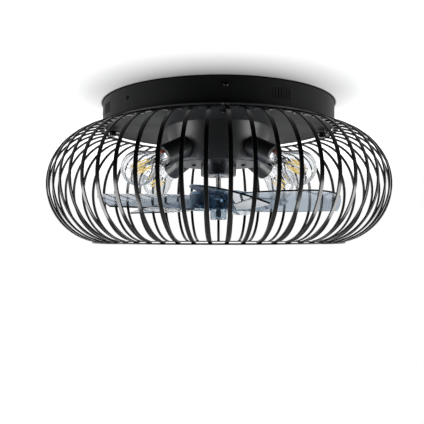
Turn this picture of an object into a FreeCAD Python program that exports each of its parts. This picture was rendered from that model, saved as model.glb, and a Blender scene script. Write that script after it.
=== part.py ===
"""Caged ceiling fan with four lamps, as a parametric document.

The origin is the middle of the ceiling plate's top face. The fan hangs from
there along -Z. A turn is an angle about the Z axis, counted from +X.
A drop is a distance below the ceiling, a reach is a distance from the Z axis.
"""
import FreeCAD, Part
import os
import re
import Sketcher

LENGTHS = {
    # Common values
    "overrun": 1.0,
    "seat_gap": 0.1,
    "running_gap": 0.03,
    "moving_gap": 0.4,
    # Ceiling plate: a disc with four arms whose ends bend down into ears
    "plate_thickness": 2.0,
    "plate_disc_radius": 72.0,
    "plate_arm_width": 30.0,
    "ear_depth": 22.0,
    "cable_hole_radius": 15.0,
    "ceiling_hole_radius": 2.75,
    "ceiling_hole_reach": 55.0,
    # Canopy: a shallow pan, open at the ceiling
    "canopy_radius": 173.0,
    "canopy_depth": 33.0,
    "canopy_wall": 1.5,
    "canopy_edge": 1.2,
    "canopy_ceiling_gap": 0.5,
    "canopy_hole_radius": 20.0,
    "vent_width": 2.0,
    "vent_pitch": 4.0,
    "vent_drop": 10.0,
    "vent_length": 14.5,
    # Side screws that hold the canopy on the ears
    "side_screw_radius": 2.0,
    "side_screw_head_radius": 3.6,
    "side_screw_head_height": 2.4,
    "side_screw_length": 8.0,
    "side_screw_drop": 10.5,
    # Receiver window of the remote control
    "receiver_radius": 2.6,
    "receiver_flange_radius": 4.5,
    "receiver_flange_height": 3.0,
    "receiver_drop": 15.0,
    # Control box and terminal block
    "control_length": 84.0,
    "control_width": 46.0,
    "control_height": 20.0,
    "control_reach": 112.0,
    "terminal_length": 18.0,
    "terminal_width": 38.0,
    "terminal_height": 14.0,
    "terminal_reach": 45.0,
    # Drum: a tapered housing under the canopy
    "drum_top_radius": 80.0,
    "drum_bottom_radius": 64.6,
    "drum_bottom_drop": 86.4,
    "drum_wall": 1.5,
    "drum_floor": 2.0,
    "drum_edge": 1.5,
    "drum_flange_width": 16.0,
    "drum_screw_radius": 2.0,
    "drum_screw_head_radius": 3.8,
    "drum_screw_head_height": 2.4,
    "drum_screw_end": 6.0,
    "drum_screw_reach": 71.0,
    # Motor
    "motor_radius": 45.0,
    "motor_wall": 3.0,
    "motor_lid_drop": 45.0,
    "lid_boss_radius": 15.0,
    "lid_boss_height": 6.0,
    "nose_radius": 27.0,
    "nose_drop": 104.0,
    "nose_edge": 1.0,
    "bearing_radius": 11.0,
    "bearing_width": 7.0,
    "bearing_shoulder": 3.0,
    "shaft_radius": 4.0,
    "shaft_collar_radius": 6.0,
    "shaft_end_drop": 166.0,
    "motor_screw_radius": 2.0,
    "motor_screw_head_radius": 3.6,
    "motor_screw_head_height": 2.2,
    "motor_screw_end": 2.5,
    "motor_screw_reach": 37.6,
    "core_radius": 20.0,
    "core_drop": 54.0,
    "core_height": 22.0,
    "air_gap": 0.6,
    "yoke_width": 7.0,
    "tooth_width": 6.0,
    "coil_width": 2.2,
    "coil_height": 26.0,
    "coil_clearance": 1.5,
    # Blade rotor, drive pin and lock nut
    "hub_radius": 44.0,
    "hub_wall": 2.2,
    "hub_floor": 4.5,
    "boss_radius": 14.5,
    "hub_drop": 128.0,
    "hub_bottom_drop": 155.5,
    "hub_edge": 3.0,
    "pin_radius": 1.5,
    "pin_length": 24.0,
    "blade_thickness": 2.2,
    "blade_mid_drop": 145.0,
    "blade_root_reach": 14.0,
    "blade_inner_reach": 52.0,
    "blade_middle_reach": 112.0,
    "blade_outer_reach": 184.0,
    "blade_root_chord": 40.0,
    "blade_inner_chord": 64.0,
    "blade_middle_chord": 90.0,
    "blade_outer_chord": 102.0,
    "blade_tip_radius": 181.0,
    "lead_corner_radius": 44.0,
    "nut_radius": 12.5,
    "nut_bottom_drop": 170.2,
    "nut_floor": 2.2,
    "nut_edge": 1.5,
    # Lamps: places along a lamp's axis are counted back from the globe's middle
    "lamp_reach": 150.0,
    "lamp_drop": 104.5,
    "bulb_radius": 23.75,
    "bulb_wall": 0.8,
    "throat_radius": 12.5,
    "throat_end": 52.0,
    "cap_plug_length": 5.0,
    "cap_flange_height": 1.0,
    "cap_radius": 7.0,
    "cap_length": 17.0,
    "cap_pip_radius": 2.4,
    "cap_pip_height": 2.5,
    "cover_radius": 15.75,
    "cover_wall": 1.2,
    "cover_mouth": 45.0,
    "cover_floor": 76.0,
    "cover_back": 3.0,
    "cover_blank_end": 100.0,
    "holder_radius": 13.4,
    "nipple_radius": 4.9,
    "nipple_bore_radius": 3.4,
    "nipple_end": 98.0,
    # Filament stem inside each bulb
    "stem_foot_radius": 7.0,
    "stem_waist_radius": 2.6,
    "stem_waist": 18.0,
    "stem_rod_radius": 1.0,
    "stem_top": 9.0,
    "spider_radius": 8.4,
    "spider_thickness": 1.0,
    "stick_radius": 0.9,
    "stick_reach": 6.8,
    # Cage: flat strips bent to one arc, between two flat rings
    "bow_middle_reach": 167.5,
    "bow_middle_drop": 121.5,
    "bow_radius": 82.5,
    "strip_width": 5.0,
    "strip_thickness": 2.0,
    "strip_end_margin": 1.0,
    "weld_bite": 0.4,
    "ring_width": 8.0,
    "ring_thickness": 2.0,
    "top_ring_reach": 174.0,
    "bottom_ring_reach": 183.0,
    # Hangers of the cage
    "tab_width": 14.0,
    "tab_end_margin": 10.0,
    "hanger_inset": 13.0,
    "spacer_radius": 5.0,
    "hanger_screw_radius": 2.0,
    "hanger_head_radius": 5.0,
    "hanger_head_height": 5.0,
    "hanger_nut_radius": 4.0,
    "hanger_nut_height": 3.2,
}

ANGLES = {
    "plate_turn": 3.0,
    "ceiling_hole_turn": 48.0,
    "vent_turn": 27.0,
    "receiver_turn": 227.0,
    "control_turn": 135.0,
    "terminal_turn": 93.0,
    "drum_screw_turn": 0.0,
    "motor_screw_turn": 0.0,
    "blade_turn": -86.0,
    "blade_root_pitch": 28.0,
    "blade_inner_pitch": 22.0,
    "blade_middle_pitch": 16.0,
    "blade_outer_pitch": 13.0,
    "lamp_turn": 45.0,
    "lamp_tilt": 25.0,
    "bulb_shoulder_angle": 22.4,
    "strip_turn": 90.0,
}

COUNTS = {
    "side_screw_count": 4,
    "ceiling_hole_count": 4,
    "vent_group_count": 4,
    "vent_count": 7,
    "drum_screw_count": 4,
    "motor_screw_count": 4,
    "tooth_count": 12,
    "blade_count": 5,
    "lamp_count": 4,
    "stick_count": 6,
    "strip_count": 59,
}

# The hangers stay inside both the canopy and the top ring
HANGER_REACH = "(min(canopy_radius; top_ring_reach) - hanger_inset)"

Z_AXIS = FreeCAD.Vector(0, 0, 1)
Y_AXIS = FreeCAD.Vector(0, 1, 0)
RIGHT_ANGLE = 90
FULL_TURN = 360

doc = FreeCAD.newDocument("caged_ceiling_fan")
sheet = doc.addObject("Spreadsheet::Sheet", "sizes")
CELLS = {**LENGTHS, **ANGLES, **COUNTS}
for row, (alias, number) in enumerate(CELLS.items(), start=1):
    sheet.set(f"A{row}", alias)
    sheet.set(f"B{row}", str(number))
    sheet.setAlias(f"B{row}", alias)
doc.recompute()

nodes = []


# Formulas over the sheet's cells


def formula(text):
    """Write the sheet's name before each of its cells in a formula."""
    return re.sub(r"[a-z_]+", lambda word: f"sizes.{word[0]}" if word[0] in CELLS else word[0], str(text))


def value(text):
    """Give the number that a formula stands for now."""
    result = sheet.evalExpression(formula(text))
    return float(getattr(result, "Value", result))


def bind(item, **formulas):
    """Tie properties of an object to formulas."""
    for name, text in formulas.items():
        item.setExpression(name, formula(text))
    return item


def seat(item, x, y, z):
    """Tie an object's place to formulas."""
    for letter, text in zip("xyz", (x, y, z)):
        item.setExpression(f"Placement.Base.{letter}", formula(text))
    return item


def spread(count, start):
    """List the turns of pieces spaced evenly about the Z axis."""
    return [f"({start} + {number} * {FULL_TURN} / {count})" for number in range(int(value(count)))]


# Solids


def upright(name, radius, height, bottom, reach="0", turn="0"):
    """Make a cylinder along Z."""
    rod = bind(doc.addObject("Part::Cylinder", name), Radius=radius, Height=height)
    return seat(rod, f"({reach}) * cos({turn})", f"({reach}) * sin({turn})", bottom)


def spoke(name, radius, length, inner, level, turn):
    """Make a cylinder that points away from the Z axis, from an inner reach."""
    rod = bind(doc.addObject("Part::Cylinder", name), Radius=radius, Height=length)
    outwards = FreeCAD.Rotation(Z_AXIS, value(turn)) * FreeCAD.Rotation(Y_AXIS, RIGHT_ANGLE)
    rod.Placement = FreeCAD.Placement(FreeCAD.Vector(), outwards)
    return seat(rod, f"({inner}) * cos({turn})", f"({inner}) * sin({turn})", level)


def seat_turned(item, along, across, level, turn):
    """Tie an object's place along and across a turn, and turn the object with it."""
    item.setExpression("Placement.Rotation.Angle", formula(turn))
    return seat(
        item,
        f"({along}) * cos({turn}) - ({across}) * sin({turn})",
        f"({along}) * sin({turn}) + ({across}) * cos({turn})",
        level,
    )


def block(name, inner, depth, width, height, bottom, turn="0"):
    """Make a box that runs outwards from an inner reach, centred on its turn."""
    box = bind(doc.addObject("Part::Box", name), Length=depth, Width=width, Height=height)
    return seat_turned(box, inner, f"-({width}) / 2", bottom, turn)


def on_lamp_axis(item, turn, place="0"):
    """Set an object's Z axis along a lamp's axis, at a place counted back from the globe's middle."""
    along = FreeCAD.Rotation(Z_AXIS, value(turn)) * FreeCAD.Rotation(Y_AXIS, RIGHT_ANGLE + value("lamp_tilt"))
    item.Placement = FreeCAD.Placement(FreeCAD.Vector(), along)
    reach = f"(lamp_reach - ({place}) * cos(lamp_tilt))"
    return seat(item, f"{reach} * cos({turn})", f"{reach} * sin({turn})",
                f"-lamp_drop + ({place}) * sin(lamp_tilt)")


def cut(name, base, *tools):
    """Take tools away from a base."""
    result = doc.addObject("Part::Cut", name)
    result.Base = base
    result.Tool = tools[0] if len(tools) == 1 else fuse(f"{name}_tools", *tools)
    return result


def fuse(name, *shapes):
    """Join shapes that touch or overlap."""
    result = doc.addObject("Part::MultiFuse", name)
    result.Shapes = list(shapes)
    return result


def common(name, *shapes):
    """Keep what shapes share."""
    result = doc.addObject("Part::MultiCommon", name)
    result.Shapes = list(shapes)
    return result


def group(name, shapes):
    """Hold separate solids in one object."""
    result = doc.addObject("Part::Compound", name)
    result.Links = list(shapes)
    return result


def tube(name, outer, inner, height, bottom):
    """Make a ring with a rectangular section about the Z axis."""
    bore = upright(f"{name}_bore", inner, f"{height} + 2 * overrun", f"{bottom} - overrun")
    return cut(name, upright(f"{name}_body", outer, height, bottom), bore)


def node(item, label):
    """Name a finished sub-part and list it for writing."""
    item.Label = label
    nodes.append(item)
    return item


# Sketches


def plane_of(body, role):
    """Find one of a body's own origin planes."""
    return next(feature for feature in body.Origin.OriginFeatures if feature.Role == role)


def outline(body, name, role, points):
    """Draw a closed outline whose corners are tied to formulas."""
    sketch = body.newObject("Sketcher::SketchObject", name)
    sketch.AttachmentSupport = (plane_of(body, role), [""])
    sketch.MapMode = "FlatFace"
    places = [FreeCAD.Vector(value(across), value(up), 0) for across, up in points]
    for number, place in enumerate(places):
        sketch.addGeometry(Part.LineSegment(place, places[(number + 1) % len(places)]))
    for number in range(len(places)):
        sketch.addConstraint(Sketcher.Constraint("Coincident", number, 2, (number + 1) % len(places), 1))
    for number, (corner, place) in enumerate(zip(points, places)):
        tie_corner(sketch, number, "DistanceX", corner[0], place.x)
        tie_corner(sketch, number, "DistanceY", corner[1], place.y)
    return sketch


def tie_corner(sketch, number, kind, text, distance):
    """Hold one coordinate of an outline's corner at a formula's value."""
    axis = -2 if kind == "DistanceX" else -1
    if text == "0":
        sketch.addConstraint(Sketcher.Constraint("PointOnObject", number, 1, axis))
        return
    index = sketch.addConstraint(Sketcher.Constraint(kind, -1, 1, number, 1, distance))
    sketch.setExpression(f"Constraints[{index}]", formula(text))


def turned(name, points):
    """Turn an outline of (reach, level) corners about the Z axis."""
    body = doc.addObject("PartDesign::Body", name)
    sketch = outline(body, f"{name}_outline", "XZ_Plane", points)
    turning = body.newObject("PartDesign::Revolution", f"{name}_turning")
    turning.Profile = sketch
    turning.ReferenceAxis = (sketch, ["V_Axis"])
    turning.Angle = FULL_TURN
    sketch.Visibility = False
    body.Tip = turning
    return body


# Ceiling plate


def make_ceiling_plate():
    """Make the disc with four arms and bent ears that is screwed to the ceiling."""
    ear_reach = "canopy_radius - canopy_wall - seat_gap"
    arms = [
        block(f"plate_arm_{number}", f"-({ear_reach}) - overrun", f"2 * ({ear_reach} + overrun)",
              "plate_arm_width", "ear_depth", "-ear_depth", f"plate_turn + {number} * {RIGHT_ANGLE}")
        for number in range(2)
    ]
    cross = fuse("plate_cross", *arms)
    flat = upright("plate_flat", ear_reach, "plate_thickness", "-plate_thickness")
    rim = tube("plate_rim", ear_reach, f"{ear_reach} - plate_thickness", "ear_depth", "-ear_depth")
    arms_and_ears = common("plate_arms_and_ears", cross, fuse("plate_blank", flat, rim))
    disc = upright("plate_disc", "plate_disc_radius", "plate_thickness", "-plate_thickness")
    through = "plate_thickness + 2 * overrun"
    below = "-plate_thickness - overrun"
    holes = [upright("plate_cable_hole", "cable_hole_radius", through, below)]
    for number, turn in enumerate(spread("ceiling_hole_count", "ceiling_hole_turn")):
        holes.append(upright(f"plate_hole_{number}", "ceiling_hole_radius", through, below,
                             "ceiling_hole_reach", turn))
    plate = fuse("plate_solid", disc, arms_and_ears)
    node(cut("ceiling_plate_cut", plate, *holes, *side_screw_holes("ear")), "ceiling_plate")


def side_screw_holes(owner):
    """Make the tools for the side screws' holes through the canopy's wall and the ears."""
    return [
        spoke(f"{owner}_side_hole_{number}", "side_screw_radius + seat_gap",
              "canopy_wall + plate_thickness + 2 * overrun",
              "canopy_radius - canopy_wall - plate_thickness - overrun", "-side_screw_drop", turn)
        for number, turn in enumerate(spread("side_screw_count", "plate_turn"))
    ]


# Canopy and what it holds


def make_canopy():
    """Make the pan with its vent slots and its screw holes."""
    pan = turned("canopy_pan", [
        ("canopy_hole_radius", "-canopy_depth"),
        ("canopy_radius - canopy_edge", "-canopy_depth"),
        ("canopy_radius", "-canopy_depth + canopy_edge"),
        ("canopy_radius", "-canopy_ceiling_gap"),
        ("canopy_radius - canopy_wall", "-canopy_ceiling_gap"),
        ("canopy_radius - canopy_wall", "-canopy_depth + canopy_wall"),
        ("canopy_hole_radius", "-canopy_depth + canopy_wall"),
    ])
    step = "vent_pitch / canopy_radius * 180 / pi"
    vents = []
    for number, middle in enumerate(spread("vent_group_count", "vent_turn")):
        for place in range(int(value("vent_count"))):
            turn = f"{middle} + ({place} - (vent_count - 1) / 2) * {step}"
            vents.append(block(f"vent_{number}_{place}", "canopy_radius - canopy_wall - overrun",
                               "canopy_wall + 2 * overrun", "vent_width", "vent_length",
                               "-vent_drop - vent_length", turn))
    through = "canopy_wall + 2 * overrun"
    below = "-canopy_depth - overrun"
    holes = [spoke("receiver_hole", "receiver_radius + seat_gap", through,
                   "canopy_radius - canopy_wall - overrun", "-receiver_drop", "receiver_turn")]
    for number, turn in enumerate(spread("drum_screw_count", "drum_screw_turn")):
        holes.append(upright(f"canopy_drum_hole_{number}", "drum_screw_radius + seat_gap", through, below,
                             "drum_screw_reach", turn))
    for number, turn in enumerate(spread("side_screw_count", "plate_turn")):
        holes.append(upright(f"canopy_hanger_hole_{number}", "hanger_screw_radius + seat_gap", through, below,
                             HANGER_REACH, turn))
    node(cut("canopy_cut", pan, *vents, *holes, *side_screw_holes("canopy")), "canopy_shell")


def make_side_screws():
    """Make the screws that go through the canopy's wall into the ears."""
    screws = []
    for number, turn in enumerate(spread("side_screw_count", "plate_turn")):
        head = spoke(f"side_head_{number}", "side_screw_head_radius", "side_screw_head_height",
                     "canopy_radius", "-side_screw_drop", turn)
        shank = spoke(f"side_shank_{number}", "side_screw_radius",
                      "side_screw_length + side_screw_head_height",
                      "canopy_radius - side_screw_length", "-side_screw_drop", turn)
        screws.append(fuse(f"side_screw_{number}", head, shank))
    node(group("side_screws", screws), "canopy_screws")


def make_receiver_window():
    """Make the plug that closes the receiver's hole from inside the canopy."""
    inner = "canopy_radius - canopy_wall - receiver_flange_height"
    pane = spoke("receiver_pane", "receiver_radius", "canopy_wall + receiver_flange_height",
                 inner, "-receiver_drop", "receiver_turn")
    flange = spoke("receiver_flange", "receiver_flange_radius", "receiver_flange_height",
                   inner, "-receiver_drop", "receiver_turn")
    clear = upright("receiver_inside", "canopy_radius - canopy_wall - seat_gap",
                    "canopy_depth", "-canopy_depth")
    seated_flange = common("receiver_seated_flange", flange, clear)
    outside = upright("receiver_outside", "canopy_radius", "canopy_depth", "-canopy_depth")
    flush_pane = common("receiver_flush_pane", pane, outside)
    node(fuse("receiver_solid", flush_pane, seated_flange), "receiver_window")


def make_electrics():
    """Make the control box on the canopy's floor and the terminal block under the ceiling plate."""
    node(block("control_solid", "control_reach - control_width / 2", "control_width", "control_length",
               "control_height", "-canopy_depth + canopy_wall", "control_turn"), "control_box")
    node(block("terminal_solid", "terminal_reach - terminal_length / 2", "terminal_length", "terminal_width",
               "terminal_height", "-plate_thickness - terminal_height", "terminal_turn"), "terminal_block")


# Drum


def drum_outside_corners():
    """List the corners of the space that the drum fills, a seat's gap larger than the drum."""
    return [
        ("0", "-canopy_depth"),
        ("drum_top_radius + seat_gap", "-canopy_depth"),
        ("drum_bottom_radius + seat_gap", "-drum_bottom_drop"),
        ("0", "-drum_bottom_drop"),
    ]


def make_drum():
    """Make the tapered housing with its flange, its floor and its holes."""
    slope = "(drum_top_radius - drum_bottom_radius) / (drum_bottom_drop - canopy_depth)"
    shell = turned("drum_shell", [
        ("nose_radius + seat_gap", "-drum_bottom_drop"),
        ("drum_bottom_radius - drum_edge", "-drum_bottom_drop"),
        (f"drum_bottom_radius + drum_edge * {slope}", "-drum_bottom_drop + drum_edge"),
        ("drum_top_radius", "-canopy_depth"),
        ("drum_top_radius - drum_flange_width", "-canopy_depth"),
        ("drum_top_radius - drum_flange_width", "-canopy_depth - drum_floor"),
        (f"drum_top_radius - drum_wall - drum_floor * {slope}", "-canopy_depth - drum_floor"),
        (f"drum_bottom_radius - drum_wall + drum_floor * {slope}", "-drum_bottom_drop + drum_floor"),
        ("nose_radius + seat_gap", "-drum_bottom_drop + drum_floor"),
    ])
    holes = []
    for number, turn in enumerate(spread("drum_screw_count", "drum_screw_turn")):
        holes.append(upright(f"flange_hole_{number}", "drum_screw_radius + seat_gap",
                             "drum_floor + 2 * overrun", "-canopy_depth - drum_floor - overrun",
                             "drum_screw_reach", turn))
    for number, turn in enumerate(spread("motor_screw_count", "motor_screw_turn")):
        holes.append(upright(f"floor_hole_{number}", "motor_screw_radius + seat_gap",
                             "drum_floor + 2 * overrun", "-drum_bottom_drop - overrun",
                             "motor_screw_reach", turn))
    for number, turn in enumerate(spread("lamp_count", "lamp_turn")):
        holes.append(lamp_rod(f"lamp_hole_{number}", "nipple_radius + seat_gap", "cover_floor",
                              "cover_blank_end", turn))
    node(cut("drum_cut", shell, *holes), "drum_housing")


def make_drum_screws():
    """Make the screws from the canopy's floor through the drum's flange."""
    screws = []
    for number, turn in enumerate(spread("drum_screw_count", "drum_screw_turn")):
        head = upright(f"drum_head_{number}", "drum_screw_head_radius", "drum_screw_head_height",
                       "-canopy_depth + canopy_wall", "drum_screw_reach", turn)
        shank = upright(f"drum_shank_{number}", "drum_screw_radius",
                        "canopy_wall + drum_floor + drum_screw_end + drum_screw_head_height",
                        "-canopy_depth - drum_floor - drum_screw_end", "drum_screw_reach", turn)
        screws.append(fuse(f"drum_screw_{number}", head, shank))
    node(group("drum_screw_set", screws), "drum_screws")


# Motor


FLOOR_TOP = "-drum_bottom_drop + drum_floor"
LID_UNDER = "-motor_lid_drop - motor_wall"
NOSE_SHELF = "-nose_drop + bearing_shoulder"


def make_motor_case():
    """Make the motor's case, whose nose stands out under the drum."""
    bearing_seat = "bearing_radius + seat_gap"
    shaft_hole = "bearing_radius - bearing_shoulder"
    case = turned("motor_case_turned", [
        (shaft_hole, "-nose_drop"),
        ("nose_radius - nose_edge", "-nose_drop"),
        ("nose_radius", "-nose_drop + nose_edge"),
        ("nose_radius", FLOOR_TOP),
        ("motor_radius", FLOOR_TOP),
        ("motor_radius", LID_UNDER),
        ("motor_radius - motor_wall", LID_UNDER),
        ("motor_radius - motor_wall", f"{FLOOR_TOP} + motor_wall"),
        (bearing_seat, f"{FLOOR_TOP} + motor_wall"),
        (bearing_seat, NOSE_SHELF),
        (shaft_hole, NOSE_SHELF),
    ])
    holes = [
        upright(f"case_hole_{number}", "motor_screw_radius + seat_gap", "motor_screw_end + overrun",
                f"{FLOOR_TOP} - overrun", "motor_screw_reach", turn)
        for number, turn in enumerate(spread("motor_screw_count", "motor_screw_turn"))
    ]
    node(cut("motor_case_cut", case, *holes), "motor_case")


def make_motor_lid():
    """Make the lid over the motor, with a pocket for the upper bearing."""
    boss_top = "-motor_lid_drop + lid_boss_height"
    pocket_roof = f"{LID_UNDER} + bearing_width"
    node(turned("motor_lid_turned", [
        ("0", boss_top),
        ("lid_boss_radius", boss_top),
        ("lid_boss_radius", "-motor_lid_drop"),
        ("motor_radius", "-motor_lid_drop"),
        ("motor_radius", LID_UNDER),
        ("bearing_radius + seat_gap", LID_UNDER),
        ("bearing_radius + seat_gap", pocket_roof),
        ("0", pocket_roof),
    ]), "motor_lid")


def make_motor_screws():
    """Make the screws from under the drum into the motor's case."""
    screws = []
    for number, turn in enumerate(spread("motor_screw_count", "motor_screw_turn")):
        head = upright(f"motor_head_{number}", "motor_screw_head_radius", "motor_screw_head_height",
                       "-drum_bottom_drop - motor_screw_head_height", "motor_screw_reach", turn)
        shank = upright(f"motor_shank_{number}", "motor_screw_radius",
                        "motor_screw_head_height + drum_floor + motor_screw_end - seat_gap",
                        "-drum_bottom_drop - motor_screw_head_height", "motor_screw_reach", turn)
        screws.append(fuse(f"motor_screw_{number}", head, shank))
    node(group("motor_screw_set", screws), "motor_screws")


def make_bearings():
    """Make the shaft's two bearings."""
    for label, bottom in (("upper_bearing", LID_UNDER), ("lower_bearing", NOSE_SHELF)):
        node(tube(f"{label}_ring", "bearing_radius", "shaft_radius + running_gap",
                  "bearing_width", bottom), label)


def make_stator():
    """Make the toothed iron ring and the coils on its teeth."""
    outside = "motor_radius - motor_wall - seat_gap"
    core_bottom = "-core_drop - core_height"
    yoke = tube("stator_yoke", outside, f"{outside} - yoke_width", "core_height", core_bottom)
    coil_start = "core_radius + air_gap + coil_clearance"
    coil_depth = f"{outside} - yoke_width - coil_clearance - ({coil_start})"
    teeth = []
    coils = []
    for number, turn in enumerate(spread("tooth_count", "0")):
        teeth.append(block(f"tooth_{number}", "core_radius", f"{outside} - yoke_width / 2 - core_radius",
                           "tooth_width", "core_height", core_bottom, turn))
        blank = block(f"coil_blank_{number}", coil_start, coil_depth, "tooth_width + 2 * coil_width",
                      "coil_height", f"{core_bottom} - (coil_height - core_height) / 2", turn)
        hole = block(f"coil_hole_{number}", f"{coil_start} - overrun", f"{coil_depth} + 2 * overrun",
                     "tooth_width + 2 * seat_gap", "core_height + 2 * seat_gap",
                     f"{core_bottom} - seat_gap", turn)
        coils.append(cut(f"coil_{number}", blank, hole))
    bore = upright("stator_bore", "core_radius + air_gap", "core_height + 2 * overrun",
                   f"{core_bottom} - overrun")
    node(cut("stator_cut", fuse("stator_blank", yoke, *teeth), bore), "stator_core")
    node(group("coil_set", coils), "stator_windings")


# Rotor


def make_shaft_and_core():
    """Make the shaft with its collar and pin hole, the rotor core and the drive pin."""
    top = f"{LID_UNDER} + bearing_width - moving_gap"
    collar_top = f"{LID_UNDER} - moving_gap"
    collar_bottom = f"{NOSE_SHELF} + bearing_width + moving_gap"
    shaft = turned("shaft_turned", [
        ("0", top),
        ("shaft_radius", top),
        ("shaft_radius", collar_top),
        ("shaft_collar_radius", collar_top),
        ("shaft_collar_radius", collar_bottom),
        ("shaft_radius", collar_bottom),
        ("shaft_radius", "-shaft_end_drop"),
        ("0", "-shaft_end_drop"),
    ])
    pin_level = "-hub_drop - pin_radius - seat_gap"
    pin_hole = spoke("shaft_pin_hole", "pin_radius + seat_gap", "pin_length", "-pin_length / 2",
                     pin_level, "0")
    node(cut("shaft_cut", shaft, pin_hole), "motor_shaft")
    node(tube("core_ring", "core_radius", "shaft_collar_radius + seat_gap", "core_height",
              "-core_drop - core_height"), "rotor_core")
    node(spoke("pin_rod", "pin_radius", "pin_length", "-pin_length / 2", pin_level, "0"), "drive_pin")


def blade_section(body, name):
    """Draw one section of a blade: a thin slab, tilted so that its leading edge is high."""
    chord = f"blade_{name}_chord"
    pitch = f"blade_{name}_pitch"
    corners = []
    for along, through in ((1, 1), (-1, 1), (-1, -1), (1, -1)):
        across = f"{-along} * {chord} / 2 * cos({pitch}) + {through} * blade_thickness / 2 * sin({pitch})"
        height = f"{along} * {chord} / 2 * sin({pitch}) + {through} * blade_thickness / 2 * cos({pitch})"
        corners.append((across, f"{height} - blade_mid_drop"))
    sketch = outline(body, f"blade_{name}_section", "YZ_Plane", corners)
    sketch.setExpression("AttachmentOffset.Base.z", formula(f"blade_{name}_reach"))
    return sketch


# Height and foot of the tools that trim the moulding of hub and blades
TRIM_HEIGHT = "(hub_bottom_drop - hub_drop + 2 * blade_outer_chord)"
TRIM_FOOT = "(-hub_bottom_drop - blade_outer_chord)"


def lead_corner_tool(number, turn):
    """Make the tool that rounds the leading corner of one blade's tip."""
    aside = "(blade_outer_chord / 2 * cos(blade_outer_pitch) - lead_corner_radius)"
    ahead = f"sqrt((blade_tip_radius - lead_corner_radius) ^ 2 - {aside} ^ 2)"
    size = "lead_corner_radius * 2"
    corner = bind(doc.addObject("Part::Box", f"lead_corner_{number}"),
                  Length=size, Width=size, Height=TRIM_HEIGHT)
    seat_turned(corner, ahead, f"-{aside} - {size}", TRIM_FOOT, turn)
    round_part = bind(doc.addObject("Part::Cylinder", f"lead_round_{number}"),
                      Radius="lead_corner_radius", Height=TRIM_HEIGHT)
    seat_turned(round_part, ahead, f"-{aside}", TRIM_FOOT, turn)
    return cut(f"lead_tool_{number}", corner, round_part)


def make_blade_rotor():
    """Make the moulding of hub and blades."""
    bore = "shaft_radius + seat_gap"
    body = turned("rotor_moulding", [
        (bore, "-hub_bottom_drop"),
        ("hub_radius", "-hub_bottom_drop"),
        ("hub_radius", "-hub_drop - hub_edge"),
        ("hub_radius - hub_edge", "-hub_drop"),
        (bore, "-hub_drop"),
    ])
    sections = [blade_section(body, name) for name in ("root", "inner", "middle", "outer")]
    blade = body.newObject("PartDesign::AdditiveLoft", "blade_loft")
    blade.Profile = sections[0]
    blade.Sections = sections[1:]
    pattern = body.newObject("PartDesign::PolarPattern", "blade_pattern")
    pattern.Originals = [blade]
    pattern.Axis = (plane_of(body, "Z_Axis"), [""])
    pattern.Angle = FULL_TURN
    bind(pattern, Occurrences="blade_count")
    body.Tip = pattern
    body.setExpression("Placement.Rotation.Angle", formula("blade_turn"))
    reach_limit = upright("tip_circle", "blade_tip_radius", TRIM_HEIGHT, TRIM_FOOT)
    trimmed = common("rotor_trimmed", body, reach_limit)
    turns = spread("blade_count", "blade_turn")
    tools = [lead_corner_tool(number, turn) for number, turn in enumerate(turns)]
    slot = block("pin_slot", "-pin_length / 2 - seat_gap", "pin_length + 2 * seat_gap",
                 "2 * (pin_radius + seat_gap)", "2 * (pin_radius + seat_gap) + overrun",
                 "-hub_drop - 2 * (pin_radius + seat_gap)")
    hollow = tube("hub_hollow", "hub_radius - hub_wall", "boss_radius",
                  f"-hub_drop - hub_floor - {TRIM_FOOT}", TRIM_FOOT)
    node(cut("rotor_cut", trimmed, slot, hollow, *tools), "blade_rotor")


def make_lock_nut():
    """Make the blind nut that holds the hub on the shaft."""
    bore = "shaft_radius + seat_gap"
    floor = "-nut_bottom_drop + nut_floor"
    node(turned("lock_nut_turned", [
        ("0", "-nut_bottom_drop"),
        ("nut_radius - nut_edge", "-nut_bottom_drop"),
        ("nut_radius", "-nut_bottom_drop + nut_edge"),
        ("nut_radius", "-hub_bottom_drop"),
        (bore, "-hub_bottom_drop"),
        (bore, floor),
        ("0", floor),
    ]), "lock_nut")


# Lamps


PIP_END = "throat_end + cap_flange_height + cap_length + cap_pip_height"
THROAT_START = "((bulb_radius / cos(bulb_shoulder_angle) - throat_radius) / tan(bulb_shoulder_angle))"


def lamp_rod(name, radius, start, end, turn):
    """Make a cylinder on a lamp's axis between two places counted back from the globe's middle."""
    rod = bind(doc.addObject("Part::Cylinder", name), Radius=radius, Height=f"({end}) - ({start})")
    return on_lamp_axis(rod, turn, end)


def bulb_blank(name, inset):
    """Make the bulb's globe, shoulder and neck as one solid, taken in by an inset."""
    globe = bind(doc.addObject("Part::Sphere", f"{name}_globe"), Radius=f"bulb_radius - {inset}")
    shoulder = doc.addObject("Part::Cone", f"{name}_shoulder")
    bind(shoulder, Radius1=f"throat_radius - {inset} / cos(bulb_shoulder_angle)",
         Radius2=f"(bulb_radius - {inset}) * cos(bulb_shoulder_angle)",
         Height=f"{THROAT_START} - (bulb_radius - {inset}) * sin(bulb_shoulder_angle)")
    seat(shoulder, "0", "0", f"-{THROAT_START}")
    neck = upright(f"{name}_neck", f"throat_radius - {inset}", f"throat_end - {THROAT_START}", "-throat_end")
    return fuse(name, globe, shoulder, neck)


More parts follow.
